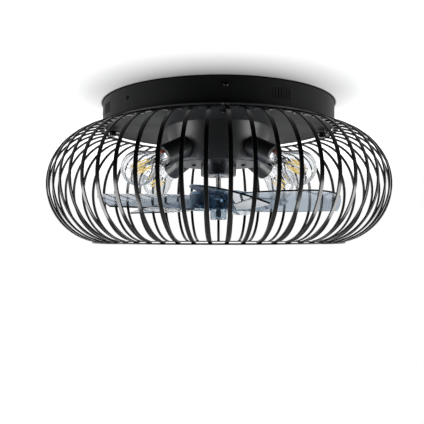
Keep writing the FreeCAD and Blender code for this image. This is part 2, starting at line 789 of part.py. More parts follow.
def make_bulb(number, turn):
    """Make one bulb: its glass, its cap and its filament stem."""
    glass = cut(f"glass_cut_{number}", bulb_blank(f"glass_outside_{number}", "0"),
                bulb_blank(f"glass_inside_{number}", "bulb_wall"))
    node(on_lamp_axis(glass, turn), f"bulb_glass_{number}")
    plug_radius = "throat_radius - bulb_wall - seat_gap"
    plug_top = "-throat_end + cap_plug_length"
    thread_end = "-throat_end - cap_flange_height - cap_length"
    cap = turned(f"cap_turned_{number}", [
        ("0", plug_top),
        (plug_radius, plug_top),
        (plug_radius, "-throat_end"),
        ("throat_radius", "-throat_end"),
        ("throat_radius", "-throat_end - cap_flange_height"),
        ("cap_radius", "-throat_end - cap_flange_height"),
        ("cap_radius", thread_end),
        ("cap_pip_radius", thread_end),
        ("cap_pip_radius", f"-({PIP_END})"),
        ("0", f"-({PIP_END})"),
    ])
    node(on_lamp_axis(cap, turn), f"bulb_cap_{number}")
    node(on_lamp_axis(filament_stem(number, plug_top), turn), f"bulb_filaments_{number}")


def filament_stem(number, foot):
    """Make the stem with two spiders and the filament sticks between them."""
    cone = doc.addObject("Part::Cone", f"stem_foot_{number}")
    bind(cone, Radius1="stem_foot_radius", Radius2="stem_waist_radius", Height=f"-stem_waist - ({foot})")
    seat(cone, "0", "0", foot)
    rise = "stem_waist + stem_top"
    parts = [cone, upright(f"stem_rod_{number}", "stem_rod_radius", rise, "-stem_waist")]
    for place, level in enumerate(("-stem_waist", "stem_top - spider_thickness")):
        parts.append(upright(f"spider_{number}_{place}", "spider_radius", "spider_thickness", level))
    for place, turn in enumerate(spread("stick_count", "0")):
        parts.append(upright(f"stick_{number}_{place}", "stick_radius", rise, "-stem_waist",
                             "stick_reach", turn))
    return fuse(f"stem_{number}", *parts)


def make_socket(number, turn, drum_outside):
    """Make one socket: the tube that stands on the drum and the lamp holder in it."""
    bore = "cover_radius - cover_wall"
    back = "cover_floor + cover_back"
    tube_blank = lamp_rod(f"cover_blank_{number}", "cover_radius", "cover_mouth", "cover_blank_end", turn)
    front_bore = lamp_rod(f"cover_front_{number}", bore, "cover_mouth - overrun", "cover_floor", turn)
    rear_bore = lamp_rod(f"cover_rear_{number}", bore, back, "cover_blank_end + overrun", turn)
    wire_hole = lamp_rod(f"cover_hole_{number}", "nipple_radius + seat_gap", "cover_floor - overrun",
                         f"{back} + overrun", turn)
    node(cut(f"cover_cut_{number}", tube_blank, front_bore, rear_bore, wire_hole, drum_outside),
         f"socket_cover_{number}")
    holder_front = "throat_end + cap_flange_height + moving_gap"
    holder_blank = lamp_rod(f"holder_blank_{number}", "holder_radius", holder_front, "cover_floor", turn)
    holder_bore = lamp_rod(f"holder_bore_{number}", "cap_radius + moving_gap", f"{holder_front} - overrun",
                           f"{PIP_END} + moving_gap", turn)
    node(cut(f"holder_cut_{number}", holder_blank, holder_bore), f"lamp_holder_{number}")


def make_lamps():
    """Make the sockets, the bulbs and the hollow nipples that fix the sockets to the drum."""
    drum_outside = turned("drum_outside", drum_outside_corners())
    nipples = []
    for number, turn in enumerate(spread("lamp_count", "lamp_turn"), start=1):
        make_socket(number, turn, drum_outside)
        make_bulb(number, turn)
        rod = lamp_rod(f"nipple_rod_{number}", "nipple_radius", "cover_floor", "nipple_end", turn)
        bore = lamp_rod(f"nipple_bore_{number}", "nipple_bore_radius", "cover_floor - overrun",
                        "nipple_end + overrun", turn)
        nipples.append(cut(f"nipple_{number}", rod, bore))
    node(group("nipple_set", nipples), "lamp_nipples")


# Cage


OUTER_BOW = "(bow_radius + strip_thickness / 2)"
TOP_RISE = f"sqrt({OUTER_BOW} ^ 2 - (top_ring_reach - bow_middle_reach) ^ 2)"
BOTTOM_FALL = f"sqrt({OUTER_BOW} ^ 2 - (bottom_ring_reach - bow_middle_reach) ^ 2)"
TOP_RING_UNDER = f"-bow_middle_drop + {TOP_RISE} - weld_bite"
BOTTOM_RING_TOP = f"-bow_middle_drop - {BOTTOM_FALL} + weld_bite"


def flat_ring(label, reach, bottom):
    """Make one of the cage's flat rings."""
    return node(tube(f"{label}_tube", f"{reach} + ring_width / 2", f"{reach} - ring_width / 2",
                     "ring_thickness", bottom), label)


def strip_end_angle(ring_reach):
    """Give the angle from the bow's widest point to a strip's end on a ring."""
    return f"acos(({ring_reach} - ring_width / 2 + strip_end_margin - bow_middle_reach) / bow_radius)"


def make_cage():
    """Make the rings, the bent strips seated on them, and the hangers."""
    top_ring = flat_ring("cage_top_ring", "top_ring_reach", TOP_RING_UNDER)
    bottom_ring = flat_ring("cage_bottom_ring", "bottom_ring_reach", f"{BOTTOM_RING_TOP} - ring_thickness")
    body = doc.addObject("PartDesign::Body", "strip_body")
    inside = "bow_radius - strip_thickness / 2"
    outside = "bow_radius + strip_thickness / 2"
    section = outline(body, "strip_section", "XY_Plane", [
        (inside, "-strip_width / 2"),
        (outside, "-strip_width / 2"),
        (outside, "strip_width / 2"),
        (inside, "strip_width / 2"),
    ])
    section.setExpression("AttachmentOffset.Base.x", formula("bow_middle_reach"))
    section.setExpression("AttachmentOffset.Base.z", formula("-bow_middle_drop"))
    bow = body.newObject("PartDesign::Revolution", "strip_bow")
    bow.Profile = section
    bow.ReferenceAxis = (section, ["V_Axis"])
    bow.Type = "TwoAngles"
    bind(bow, Angle=strip_end_angle("bottom_ring_reach"), Angle2=strip_end_angle("top_ring_reach"))
    pattern = body.newObject("PartDesign::PolarPattern", "strip_pattern")
    pattern.Originals = [bow]
    pattern.Axis = (plane_of(body, "Z_Axis"), [""])
    pattern.Angle = FULL_TURN
    bind(pattern, Occurrences="strip_count")
    body.Tip = pattern
    body.setExpression("Placement.Rotation.Angle", formula("strip_turn"))
    node(cut("strips_cut", body, top_ring, bottom_ring), "cage_strips")
    make_hangers(top_ring)


def make_hangers(top_ring):
    """Make the tabs on the top ring, with the spacers, screws and nuts that hold them to the canopy."""
    tab_inner = f"{HANGER_REACH} - tab_end_margin"
    tab_top = f"({TOP_RING_UNDER}) + ring_thickness"
    hole = "hanger_screw_radius + seat_gap"
    nut_bottom = "-canopy_depth + canopy_wall"
    screw_bottom = f"({TOP_RING_UNDER}) - hanger_head_height"
    pieces = {"cage_tabs": [], "cage_spacers": [], "cage_screws": [], "cage_nuts": []}
    for number, turn in enumerate(spread("side_screw_count", "plate_turn")):
        tab = block(f"tab_blank_{number}", tab_inner, f"top_ring_reach - ({tab_inner})", "tab_width",
                    "ring_thickness", TOP_RING_UNDER, turn)
        through = upright(f"hanger_hole_{number}", hole, "canopy_depth + bow_middle_drop", "-bow_middle_drop",
                          HANGER_REACH, turn)
        pieces["cage_tabs"].append(cut(f"tab_{number}", tab, top_ring, through))
        spacer = upright(f"spacer_blank_{number}", "spacer_radius", f"-canopy_depth - ({tab_top})", tab_top,
                         HANGER_REACH, turn)
        pieces["cage_spacers"].append(cut(f"spacer_{number}", spacer, through))
        head = upright(f"hanger_head_{number}", "hanger_head_radius", "hanger_head_height", screw_bottom,
                       HANGER_REACH, turn)
        shank = upright(f"hanger_shank_{number}", "hanger_screw_radius",
                        f"{nut_bottom} + hanger_nut_height - ({screw_bottom})", screw_bottom,
                        HANGER_REACH, turn)
        pieces["cage_screws"].append(fuse(f"hanger_screw_{number}", head, shank))
        nut = bind(doc.addObject("Part::Prism", f"nut_blank_{number}"), Circumradius="hanger_nut_radius",
                   Height="hanger_nut_height")
        seat_turned(nut, HANGER_REACH, "0", nut_bottom, turn)
        pieces["cage_nuts"].append(cut(f"nut_{number}", nut, through))
    for label, solids in pieces.items():
        node(group(f"{label}_set", solids), label)


# Build, check and write


def check_document():
    """Stop if any object failed or any sub-part has no sound shape."""
    failed = [item.Name for item in doc.Objects if {"Invalid", "Error"} & set(item.State)]
    if failed:
        raise RuntimeError(f"failed objects: {failed}")
    for item in nodes:
        if item.Shape.isNull() or not item.Shape.isValid() or not item.Shape.Solids:
            raise RuntimeError(f"no sound shape: {item.Label}")


def main():
    """Build every sub-part, check the document and write one file per sub-part."""
    make_ceiling_plate()
    make_canopy()
    make_side_screws()
    make_receiver_window()
    make_electrics()
    make_drum()
    make_drum_screws()
    make_motor_case()
    make_motor_lid()
    make_motor_screws()
    make_bearings()
    make_stator()
    make_shaft_and_core()
    make_blade_rotor()
    make_lock_nut()
    make_lamps()
    make_cage()
    doc.recompute()
    check_document()
    os.makedirs("parts", exist_ok=True)
    for item in nodes:
        item.Shape.exportStep(f"parts/{item.Label}.step")
        box = item.Shape.BoundBox
        print(f"{item.Label}: {len(item.Shape.Solids)} solids, {item.Shape.Volume:.0f} mm3, "
              f"reach {box.XMin:.1f} to {box.XMax:.1f}, level {box.ZMin:.2f} to {box.ZMax:.2f}")


main()
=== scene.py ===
"""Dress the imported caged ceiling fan: its smooth pieces, finishes, stage, light and camera.

All lengths are metres in the part's own frame. The origin is the middle of the ceiling
plate's top face and the fan hangs along -Z. A turn is an angle about Z counted from +X,
a reach is a distance from the Z axis, and a profile is a list of (reach, height) points.
"""
from __future__ import annotations

import logging
from dataclasses import dataclass
from enum import Enum
from functools import cache
from math import acos, atan2, cos, hypot, pi, radians, sin, sqrt, tan

import bmesh
import bpy
from bmesh.types import BMesh
from mathutils import Matrix, Vector


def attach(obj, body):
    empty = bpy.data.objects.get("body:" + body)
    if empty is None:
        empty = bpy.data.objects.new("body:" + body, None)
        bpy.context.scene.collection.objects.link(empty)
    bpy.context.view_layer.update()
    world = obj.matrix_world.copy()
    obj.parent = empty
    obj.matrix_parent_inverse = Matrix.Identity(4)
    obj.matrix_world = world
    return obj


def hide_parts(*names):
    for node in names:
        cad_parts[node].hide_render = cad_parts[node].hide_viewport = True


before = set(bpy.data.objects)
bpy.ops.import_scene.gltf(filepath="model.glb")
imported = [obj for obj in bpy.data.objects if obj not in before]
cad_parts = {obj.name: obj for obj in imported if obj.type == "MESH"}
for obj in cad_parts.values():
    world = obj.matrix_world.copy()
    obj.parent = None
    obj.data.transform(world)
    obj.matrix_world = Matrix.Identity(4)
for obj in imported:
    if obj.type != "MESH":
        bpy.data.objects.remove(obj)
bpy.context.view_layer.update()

LOG = logging.getLogger("ceiling_fan")

Profile = list[tuple[float, float]]
Colour = tuple[float, float, float]
Place = tuple[float, float, float]
Socket = bpy.types.NodeSocket
Feeds = dict[str | int, object]

ORIGIN = (0.0, 0.0, 0.0)
Z_AXIS = (0.0, 0.0, 1.0)
Y_AXIS = (0.0, 1.0, 0.0)
FULL_TURN = 2 * pi
RIGHT_ANGLE = pi / 2
WELD = 1e-6
FLAT = radians(0.4)
SHARP = radians(32)
STEEP = radians(60)
FINE_ROUNDING = 3


class Body(str, Enum):
    """The bodies that pieces ride on."""

    FRAME = "fan_frame"
    ROTOR = "rotor"
    BULB_1 = "bulb_1"
    BULB_2 = "bulb_2"
    BULB_3 = "bulb_3"
    BULB_4 = "bulb_4"


class Slot(str, Enum):
    """The record's material slots, one named by each new piece."""

    BLACK_METAL = "black_metal"
    ZINC = "zinc_steel"
    BEARING = "bearing_steel"
    MOTOR = "motor_metal"
    SMOKE = "smoke_plastic"
    CLEAR = "clear_plastic"
    GLASS = "bulb_glass"
    CAP = "bulb_cap"
    FILAMENT = "filament"
    HOLDER = "holder_plastic"
    BOX = "box_plastic"
    RECEIVER = "receiver_plastic"


# Node trees


class Kind(str, Enum):
    """The kinds of a group's inputs and outputs."""

    NUMBER = "NodeSocketFloat"
    COLOUR = "NodeSocketColor"


class Tree:
    """A node tree that is filled node by node."""

    def __init__(self, tree: bpy.types.NodeTree) -> None:
        """Keep the tree and take out what it starts with."""
        self.tree = tree
        tree.nodes.clear()

    def link(self, source: Socket, target: Socket) -> None:
        """Join an output to an input."""
        self.tree.links.new(source, target)

    def add(self, kind: str, feeds: Feeds | None = None, **settings: object) -> bpy.types.Node:
        """Add a node, set its properties and feed its inputs.

        Args:
            kind: the node's type name after "ShaderNode".
            feeds: a value, or the output to join, for each input that isn't at its default.
            **settings: properties of the node.

        Returns:
            The new node.
        """
        node = self.tree.nodes.new(f"ShaderNode{kind}")
        for name, setting in settings.items():
            setattr(node, name, setting)
        for name, feed in (feeds or {}).items():
            if isinstance(feed, Socket):
                self.link(feed, node.inputs[name])
            else:
                node.inputs[name].default_value = feed
        return node

    def ramp(self, value: Socket, start: float, end: float, low: float | Socket = 0.0,
             high: float | Socket = 1.0, **settings: object) -> Socket:
        """Map a value from one range to another.

        Args:
            value: the value.
            start: where the range starts.
            end: where the range ends.
            low: the result at the start.
            high: the result at the end.
            **settings: properties of the node.

        Returns:
            The result.
        """
        feeds = {"Value": value, "From Min": start, "From Max": end, "To Min": low, "To Max": high}
        return self.add("MapRange", feeds, **settings).outputs["Result"]

    def reckon(self, operation: str, first: Socket, second: Socket) -> Socket:
        """Work out one value from two."""
        return self.add("Math", {0: first, 1: second}, operation=operation).outputs["Value"]

    def noise(self, scale: float | Socket, detail: float) -> Socket:
        """Add noise over the object's own coordinates.

        Args:
            scale: how fine it is.
            detail: how much finer noise lies in it.

        Returns:
            The noise's value.
        """
        place = self.add("TexCoord").outputs["Object"]
        return self.add("TexNoise", {"Vector": place, "Scale": scale, "Detail": detail}).outputs["Fac"]

    def end(self, shader: Socket) -> None:
        """Make a shader the surface of the material."""
        self.add("OutputMaterial", {"Surface": shader})


def start_group(name: str, inputs: dict[str, Kind],
                outputs: dict[str, Kind]) -> tuple[Tree, dict[str, Socket], dict[str, Socket]]:
    """Start a shared node group.

    Args:
        name: the group's name.
        inputs: each input's name and kind.
        outputs: each output's name and kind.

    Returns:
        The tree, its input sockets by name and its output sockets by name.
    """
    group = bpy.data.node_groups.new(name, "ShaderNodeTree")
    tree = Tree(group)
    for side, sockets in (("INPUT", inputs), ("OUTPUT", outputs)):
        for label, kind in sockets.items():
            group.interface.new_socket(label, in_out=side, socket_type=kind.value)
    entry = group.nodes.new("NodeGroupInput")
    leave = group.nodes.new("NodeGroupOutput")
    return tree, dict(entry.outputs.items()), dict(leave.inputs.items())


FINE_DETAIL = 3.0
BROAD_DETAIL = 4.0
DRIFT_DETAIL = 5.0
DRIFT_SCALE = 60.0
BROAD_SHARE = 0.6
NOISE_START = 0.35
NOISE_END = 0.65
DUST_TONE = (0.42, 0.40, 0.37, 1.0)
DUST_START = 0.5


@cache
def surface_grain() -> bpy.types.NodeTree:
    """Give the group for fine grain over broad smudges, which makes roughness and bump height.

    Returns:
        The group's tree.
    """
    tree, entry, leave = start_group(
        "surface_grain",
        dict.fromkeys(("Fine", "Broad", "Lowest", "Highest"), Kind.NUMBER),
        dict.fromkeys(("Roughness", "Height"), Kind.NUMBER),
    )
    fine = tree.noise(entry["Fine"], FINE_DETAIL)
    broad = tree.noise(entry["Broad"], BROAD_DETAIL)
    blend = tree.add("Mix", {"Factor": BROAD_SHARE, "A": fine, "B": broad}).outputs["Result"]
    tree.link(tree.ramp(blend, NOISE_START, NOISE_END, entry["Lowest"], entry["Highest"]), leave["Roughness"])
    tree.link(fine, leave["Height"])
    return tree.tree


@cache
def tone_drift() -> bpy.types.NodeTree:
    """Give the group for a colour that drifts a little and is dusted where a face looks up.

    Returns:
        The group's tree.
    """
    tree, entry, leave = start_group(
        "tone_drift",
        {"Tone": Kind.COLOUR, "Drift": Kind.COLOUR, "Dust": Kind.NUMBER},
        {"Color": Kind.COLOUR},
    )
    noise = tree.noise(DRIFT_SCALE, DRIFT_DETAIL)
    tones = tree.add("Mix", {"Factor": noise, "A": entry["Tone"], "B": entry["Drift"]}, data_type="RGBA")
    lie = tree.add("SeparateXYZ", {"Vector": tree.add("NewGeometry").outputs["Normal"]})
    patchy = tree.reckon("MULTIPLY", tree.ramp(lie.outputs["Z"], DUST_START, 1.0), noise)
    cover = tree.reckon("MULTIPLY", patchy, entry["Dust"])
    dusted = tree.add("Mix", {"Factor": cover, "A": tones.outputs["Result"], "B": DUST_TONE},
                      data_type="RGBA")
    tree.link(dusted.outputs["Result"], leave["Color"])
    return tree.tree


@cache
def turning_marks() -> bpy.types.NodeTree:
    """Give the group for the fine rings that a lathe leaves about the Z axis.

    Returns:
        The group's tree.
    """
    tree, entry, leave = start_group("turning_marks", {"Rings": Kind.NUMBER}, {"Height": Kind.NUMBER})
    apart = tree.add("SeparateXYZ", {"Vector": tree.add("TexCoord").outputs["Object"]}).outputs
    flat = tree.add("CombineXYZ", {"X": apart["X"], "Y": apart["Y"]})
    reach = tree.add("VectorMath", {0: flat.outputs["Vector"]}, operation="LENGTH").outputs["Value"]
    along = tree.reckon("ADD", reach, apart["Z"])
    noise = tree.add("TexNoise", {"W": along, "Scale": entry["Rings"]}, noise_dimensions="1D")
    tree.link(noise.outputs["Fac"], leave["Height"])
    return tree.tree


# Finishes


@dataclass(frozen=True)
class Surface:
    """What every finish has: its tones, grain and bump, and one material that is made on first use."""

    name: str
    tone: Colour
    drift: Colour
    lowest: float
    highest: float
    fine: float = 700.0
    broad: float = 18.0
    bump: float = 0.1
    bump_depth: float = 0.0001
    dust: float = 0.0
    rings: float = 0.0

    def material(self) -> bpy.types.Material:
        """Give the finish's material, whose name differs from those of the loaded materials.

        Returns:
            The material.
        """
        name = f"{self.name}_finish"
        known = bpy.data.materials.get(name)
        if known is not None:
            return known
        material = bpy.data.materials.new(name)
        material.use_nodes = True
        self.shade(Tree(material.node_tree))
        return material

    def shade(self, tree: Tree) -> None:
        """Fill the material's tree, which each kind of finish does in its own way."""
        raise NotImplementedError

    def coat(self, tree: Tree) -> Feeds:
        """Add the groups that vary the surface.

        Args:
            tree: the material's tree.

        Returns:
            What feeds the surface's colour, roughness and normal.
        """
        tones = {"Tone": (*self.tone, 1.0), "Drift": (*self.drift, 1.0), "Dust": self.dust}
        colour = tree.add("Group", tones, node_tree=tone_drift())
        limits = {"Fine": self.fine, "Broad": self.broad, "Lowest": self.lowest, "Highest": self.highest}
        grain = tree.add("Group", limits, node_tree=surface_grain())
        height = grain.outputs["Height"]
        if self.rings:
            height = tree.add("Group", {"Rings": self.rings}, node_tree=turning_marks()).outputs["Height"]
        relief = tree.add("Bump", {"Strength": self.bump, "Distance": self.bump_depth, "Height": height})
        return {"Base Color": colour.outputs["Color"], "Roughness": grain.outputs["Roughness"],
                "Normal": relief.outputs["Normal"]}


@dataclass(frozen=True)
class Finish(Surface):
    """An opaque finish: a colour that drifts, a roughness with grain, and a fine bump."""

    metallic: float = 0.0
    specular: float = 0.5
    painted_glow: float = 0.0

    def shade(self, tree: Tree) -> None:
        """Fill the material's tree.

        Args:
            tree: the empty tree.
        """
        feeds = {**self.coat(tree), "Metallic": self.metallic, "Specular IOR Level": self.specular}
        # Painted glow: the colour also shines, standing in for light that the glass keeps from the part.
        if self.painted_glow:
            feeds |= {"Emission Color": feeds["Base Color"], "Emission Strength": self.painted_glow}
        tree.end(tree.add("BsdfPrincipled", feeds).outputs["BSDF"])


@dataclass(frozen=True)
class ClearFinish(Surface):
    """A see-through finish: glass or clear plastic that lets the lamps' light through."""

    fine: float = 300.0
    broad: float = 25.0
    bump: float = 0.05
    bump_depth: float = 0.0002
    ior: float = 1.45

    def shade(self, tree: Tree) -> None:
        """Fill the material's tree.

        Args:
            tree: the empty tree.
        """
        feeds = {**self.coat(tree), "Transmission Weight": 1.0, "IOR": self.ior}
        surface = tree.add("BsdfPrincipled", feeds).outputs["BSDF"]
        passing = tree.add("BsdfTransparent", {"Color": (*self.tone, 1.0)}).outputs["BSDF"]
        shadow = tree.add("LightPath").outputs["Is Shadow Ray"]
        tree.end(tree.add("MixShader", {0: shadow, 1: surface, 2: passing}).outputs["Shader"])


BLACK_PAINT = Finish("black_satin_paint", (0.011, 0.0118, 0.0128), (0.015, 0.0158, 0.0168), 0.46, 0.58,
                     specular=0.26, bump=0.12, dust=0.02)
# The drum, tube and cage paints are darker copies of the black paint: the lower tone is painted shade, and
# the gloss differs too.
SHADED_DRUM_PAINT = Finish("shaded_black_drum_paint", (0.0035, 0.0041, 0.0046), (0.005, 0.0056, 0.0061), 0.34, 0.42,
                    specular=0.75, bump=0.05, dust=0.02)
SHADED_CAGE_PAINT = Finish("shaded_black_cage_paint", (0.0035, 0.0035, 0.0038), (0.005, 0.005, 0.0053), 0.16, 0.22,
                    specular=0.55, bump=0.03, dust=0.02)
DARK_SCREW = Finish("dark_screw_plating", (0.045, 0.045, 0.048), (0.065, 0.065, 0.066), 0.18, 0.30,
                    metallic=1.0, fine=300.0, bump=0.05)
ZINC_STEEL = Finish("zinc_plated_steel", (0.55, 0.56, 0.58), (0.68, 0.68, 0.67), 0.25, 0.45,
                    metallic=1.0, fine=160.0, broad=40.0, bump=0.06)
BEARING_STEEL = Finish("polished_steel", (0.62, 0.62, 0.63), (0.70, 0.70, 0.70), 0.12, 0.24,
                       metallic=1.0, rings=900.0, bump=0.08)
MOTOR_METAL = Finish("turned_motor_metal", (0.15, 0.155, 0.163), (0.20, 0.205, 0.213), 0.22, 0.34,
                     metallic=1.0, rings=700.0, bump=0.12)
CORE_IRON = Finish("laminated_iron", (0.16, 0.15, 0.145), (0.22, 0.21, 0.20), 0.4, 0.6,
                   metallic=1.0, rings=1600.0, bump=0.4)
COPPER = Finish("enamelled_copper", (0.55, 0.20, 0.07), (0.72, 0.30, 0.12), 0.2, 0.35,
                metallic=1.0, fine=1200.0, bump=0.3)
BULB_CAP = Finish("nickel_cap", (0.62, 0.60, 0.56), (0.72, 0.70, 0.66), 0.18, 0.32, metallic=1.0)
# The filament's painted glow stands in for the light that reaches it through the glass; the bulb is not lit.
FILAMENT = Finish("filament_coating", (0.80, 0.54, 0.10), (0.90, 0.66, 0.17), 0.45, 0.6, bump=0.2, painted_glow=0.25)
SUPPORT_WIRE = Finish("support_wire", (0.30, 0.29, 0.28), (0.40, 0.39, 0.37), 0.25, 0.4, metallic=1.0)
# Painted shade: the pale driver cup is toned grey for the shade in the bulb's throat.
SHADED_CUP_PLASTIC = Finish("shaded_driver_cup_plastic", (0.20, 0.185, 0.17), (0.27, 0.25, 0.23), 0.35, 0.5)
RESIN_BROWN = Finish("driver_resin", (0.16, 0.022, 0.008), (0.25, 0.05, 0.02), 0.25, 0.4)
HOLDER_PLASTIC = Finish("holder_plastic_black", (0.012, 0.012, 0.012), (0.02, 0.02, 0.02), 0.4, 0.55)
TERMINAL_PLASTIC = Finish("terminal_plastic", (0.62, 0.60, 0.54), (0.70, 0.68, 0.62), 0.4, 0.55, dust=0.05)
BOX_PLASTIC = Finish("control_box_plastic", (0.70, 0.70, 0.68), (0.76, 0.76, 0.74), 0.42, 0.58,
                     fine=900.0, bump=0.2, dust=0.05)
RECEIVER_PLASTIC = Finish("receiver_plastic", (0.0006, 0.0004, 0.0004), (0.001, 0.0005, 0.0005), 0.35, 0.45,
                          specular=0.06)
SMOKE_PLASTIC = ClearFinish("smoke_blade_plastic", (0.41, 0.475, 0.55), (0.43, 0.495, 0.57), 0.02, 0.05,
                            ior=1.49, bump=0.006)
HUB_PLASTIC = ClearFinish("smoke_hub_plastic", (0.20, 0.30, 0.39), (0.22, 0.32, 0.41), 0.02, 0.05,
                          ior=1.49, bump=0.006)
CLEAR_PLASTIC = ClearFinish("clear_nut_plastic", (0.36, 0.45, 0.53), (0.40, 0.49, 0.57), 0.04, 0.12, ior=1.49)
BULB_GLASS = ClearFinish("bulb_glass_clear", (0.82, 0.83, 0.84), (0.85, 0.86, 0.87), 0.0, 0.012, bump=0.004)


# Mesh tools


def spun(profile: Profile, steps: int, closed: bool = True) -> BMesh:
    """Spin a profile about the Z axis.

    Args:
        profile: the profile's corners.
        steps: how many faces go round.
        closed: whether the last corner joins the first.

    Returns:
        The spun mesh, with its normals outwards.
    """
    mesh = bmesh.new()
    corners = [mesh.verts.new((reach, 0.0, height)) for reach, height in profile]
    partners = corners[1:] + corners[:1] if closed else corners[1:]
    sides = [mesh.edges.new(pair) for pair in zip(corners, partners)]
    bmesh.ops.spin(mesh, geom=corners + sides, cent=ORIGIN, axis=Z_AXIS, angle=FULL_TURN, steps=steps,
                   use_merge=True)
    bmesh.ops.remove_doubles(mesh, verts=mesh.verts, dist=WELD)
    bmesh.ops.recalc_face_normals(mesh, faces=mesh.faces)
    return mesh


def soften(mesh: BMesh, radius: float, segments: int = 2, angle: float = SHARP) -> BMesh:
    """Round the sharp edges of a mesh.

    Args:
        mesh: the mesh to change.
        radius: the rounding's size.
        segments: the rounding's faces.
        angle: how much the faces must turn at an edge.

    Returns:
        The same mesh.
    """
    sharp = [edge for edge in mesh.edges if edge.is_manifold and edge.calc_face_angle() > angle]
    bmesh.ops.bevel(mesh, geom=sharp, offset=radius, offset_type="OFFSET", affect="EDGES", segments=segments,
                    profile=0.5, material=-1, clamp_overlap=True)
    return mesh


def placed(mesh: BMesh, *moves: Matrix) -> BMesh:
    """Move a mesh.

    Args:
        mesh: the mesh to change.
        *moves: matrices, the first one applied first.

    Returns:
        The same mesh.
    """
    for move in moves:
        bmesh.ops.transform(mesh, matrix=move, verts=mesh.verts)
    return mesh


def copied_round(mesh: BMesh, count: int) -> BMesh:
    """Repeat a mesh evenly about the Z axis.

    Args:
        mesh: the mesh to change.
        count: how many there are in the end.

    Returns:
        The same mesh.
    """
    bmesh.ops.spin(mesh, geom=mesh.verts[:] + mesh.edges[:] + mesh.faces[:], cent=ORIGIN, axis=Z_AXIS,
                   angle=FULL_TURN * (count - 1) / count, steps=count - 1, use_duplicate=True)
    return mesh


def joined(*parts: BMesh) -> BMesh:
    """Put several meshes into one.

    Args:
        *parts: the meshes, which are freed.

    Returns:
        The new mesh.
    """
    whole = bmesh.new()
    for part in parts:
        holder = bpy.data.meshes.new("part")
        part.to_mesh(holder)
        part.free()
        whole.from_mesh(holder)
        bpy.data.meshes.remove(holder)
    return whole


def as_object(mesh: BMesh, name: str) -> bpy.types.Object:
    """Make an object of a mesh and put it in the scene.

    Args:
        mesh: the mesh, which is freed.
        name: the object's name.

    Returns:
        The object.
    """
    data = bpy.data.meshes.new(name)
    mesh.to_mesh(data)
    mesh.free()
    made = bpy.data.objects.new(name, data)
    bpy.context.scene.collection.objects.link(made)
    return made


def rod(radius: float, length: float, segments: int) -> BMesh:
    """Make a round rod along the Z axis with its middle at the origin.

    Args:
        radius: its radius.
        length: its length.
        segments: how many faces go round.

    Returns:
        The rod's mesh.
    """
    mesh = bmesh.new()
    bmesh.ops.create_cone(mesh, cap_ends=True, segments=segments, radius1=radius, radius2=radius,
                          depth=length)
    return mesh


def block(size: Place, middle: Place) -> BMesh:
    """Make a block.

    Args:
        size: its length along each axis.
        middle: where its middle is.

    Returns:
        The block's mesh.
    """
    mesh = bmesh.new()
    bmesh.ops.create_cube(mesh, size=1.0)
    return placed(mesh, Matrix.Diagonal((*size, 1.0)), Matrix.Translation(middle))


def carved(blank: BMesh, tool: BMesh) -> BMesh:
    """Cut one shape out of another.

    Args:
        blank: the shape that is cut, which is freed.
        tool: the shape that is taken away, which is freed.

    Returns:
        The mesh that is left.
    """
    held_blank = as_object(blank, "carve_blank")
    held_tool = as_object(tool, "carve_tool")
    cut = held_blank.modifiers.new("cut", "BOOLEAN")
    cut.operation = "DIFFERENCE"
    cut.solver = "EXACT"
    cut.object = held_tool
    result = bmesh.new()
    result.from_object(held_blank, bpy.context.evaluated_depsgraph_get())
    for held in (held_blank, held_tool):
        bpy.data.meshes.remove(held.data)
    return result


def refined(node: str, radius: float, segments: int = 2) -> BMesh:
    """Copy a node's mesh, merge its flat faces and round its sharp edges.

    Args:
        node: the node's name.
        radius: the rounding's size.
        segments: the rounding's faces.

    Returns:
        The new mesh.
    """
    mesh = bmesh.new()
    mesh.from_mesh(bpy.data.objects[node].data)
    bmesh.ops.remove_doubles(mesh, verts=mesh.verts, dist=WELD)
    bmesh.ops.dissolve_limit(mesh, angle_limit=FLAT, verts=mesh.verts, edges=mesh.edges)
    return soften(mesh, radius, segments)


def fluted(mesh: BMesh, count: int, depth: float, beyond: float) -> BMesh:
    """Press grip flutes into the outside of a round mesh on the Z axis.

    Args:
        mesh: the mesh to change.
        count: how many flutes go round.
        depth: how deep they are.
        beyond: the reach beyond which points move.

    Returns:
        The same mesh.
    """
    for vert in mesh.verts:
        reach = hypot(vert.co.x, vert.co.y)
        if reach > beyond:
            press = depth * (1 - cos(count * atan2(vert.co.y, vert.co.x))) / 2
            vert.co.x *= 1 - press / reach
            vert.co.y *= 1 - press / reach
    return mesh


HEAD_SHARES = ((0.0, 1.0), (0.45, 0.97), (0.75, 0.82), (0.93, 0.52), (1.0, 0.16), (0.98, 0.0))
RECESS_LENGTH_SHARE = 1.15
RECESS_WIDTH_SHARE = 0.24
SCREW_STEPS = 32


def screw(head_radius: float, head_height: float, radius: float, length: float) -> BMesh:
    """Make a pan-head screw with a cross recess, its head towards +Z and seated at the origin.

    Args:
        head_radius: the head's radius.
        head_height: the head's height.
        radius: the shank's radius.
        length: the shank's length.

    Returns:
        The screw's mesh.
    """
    head = [(reach * head_radius, height * head_height) for reach, height in HEAD_SHARES]
    body = spun(head + [(radius, 0.0), (radius, -length), (0.0, -length)], SCREW_STEPS, closed=False)
    wing = (RECESS_LENGTH_SHARE * head_radius, RECESS_WIDTH_SHARE * head_radius, head_height)
    for turn in (0.0, RIGHT_ANGLE):
        arm = placed(block(wing, (0.0, 0.0, head_height)), Matrix.Rotation(turn, 4, "Z"))
        body = carved(body, arm)
    return body


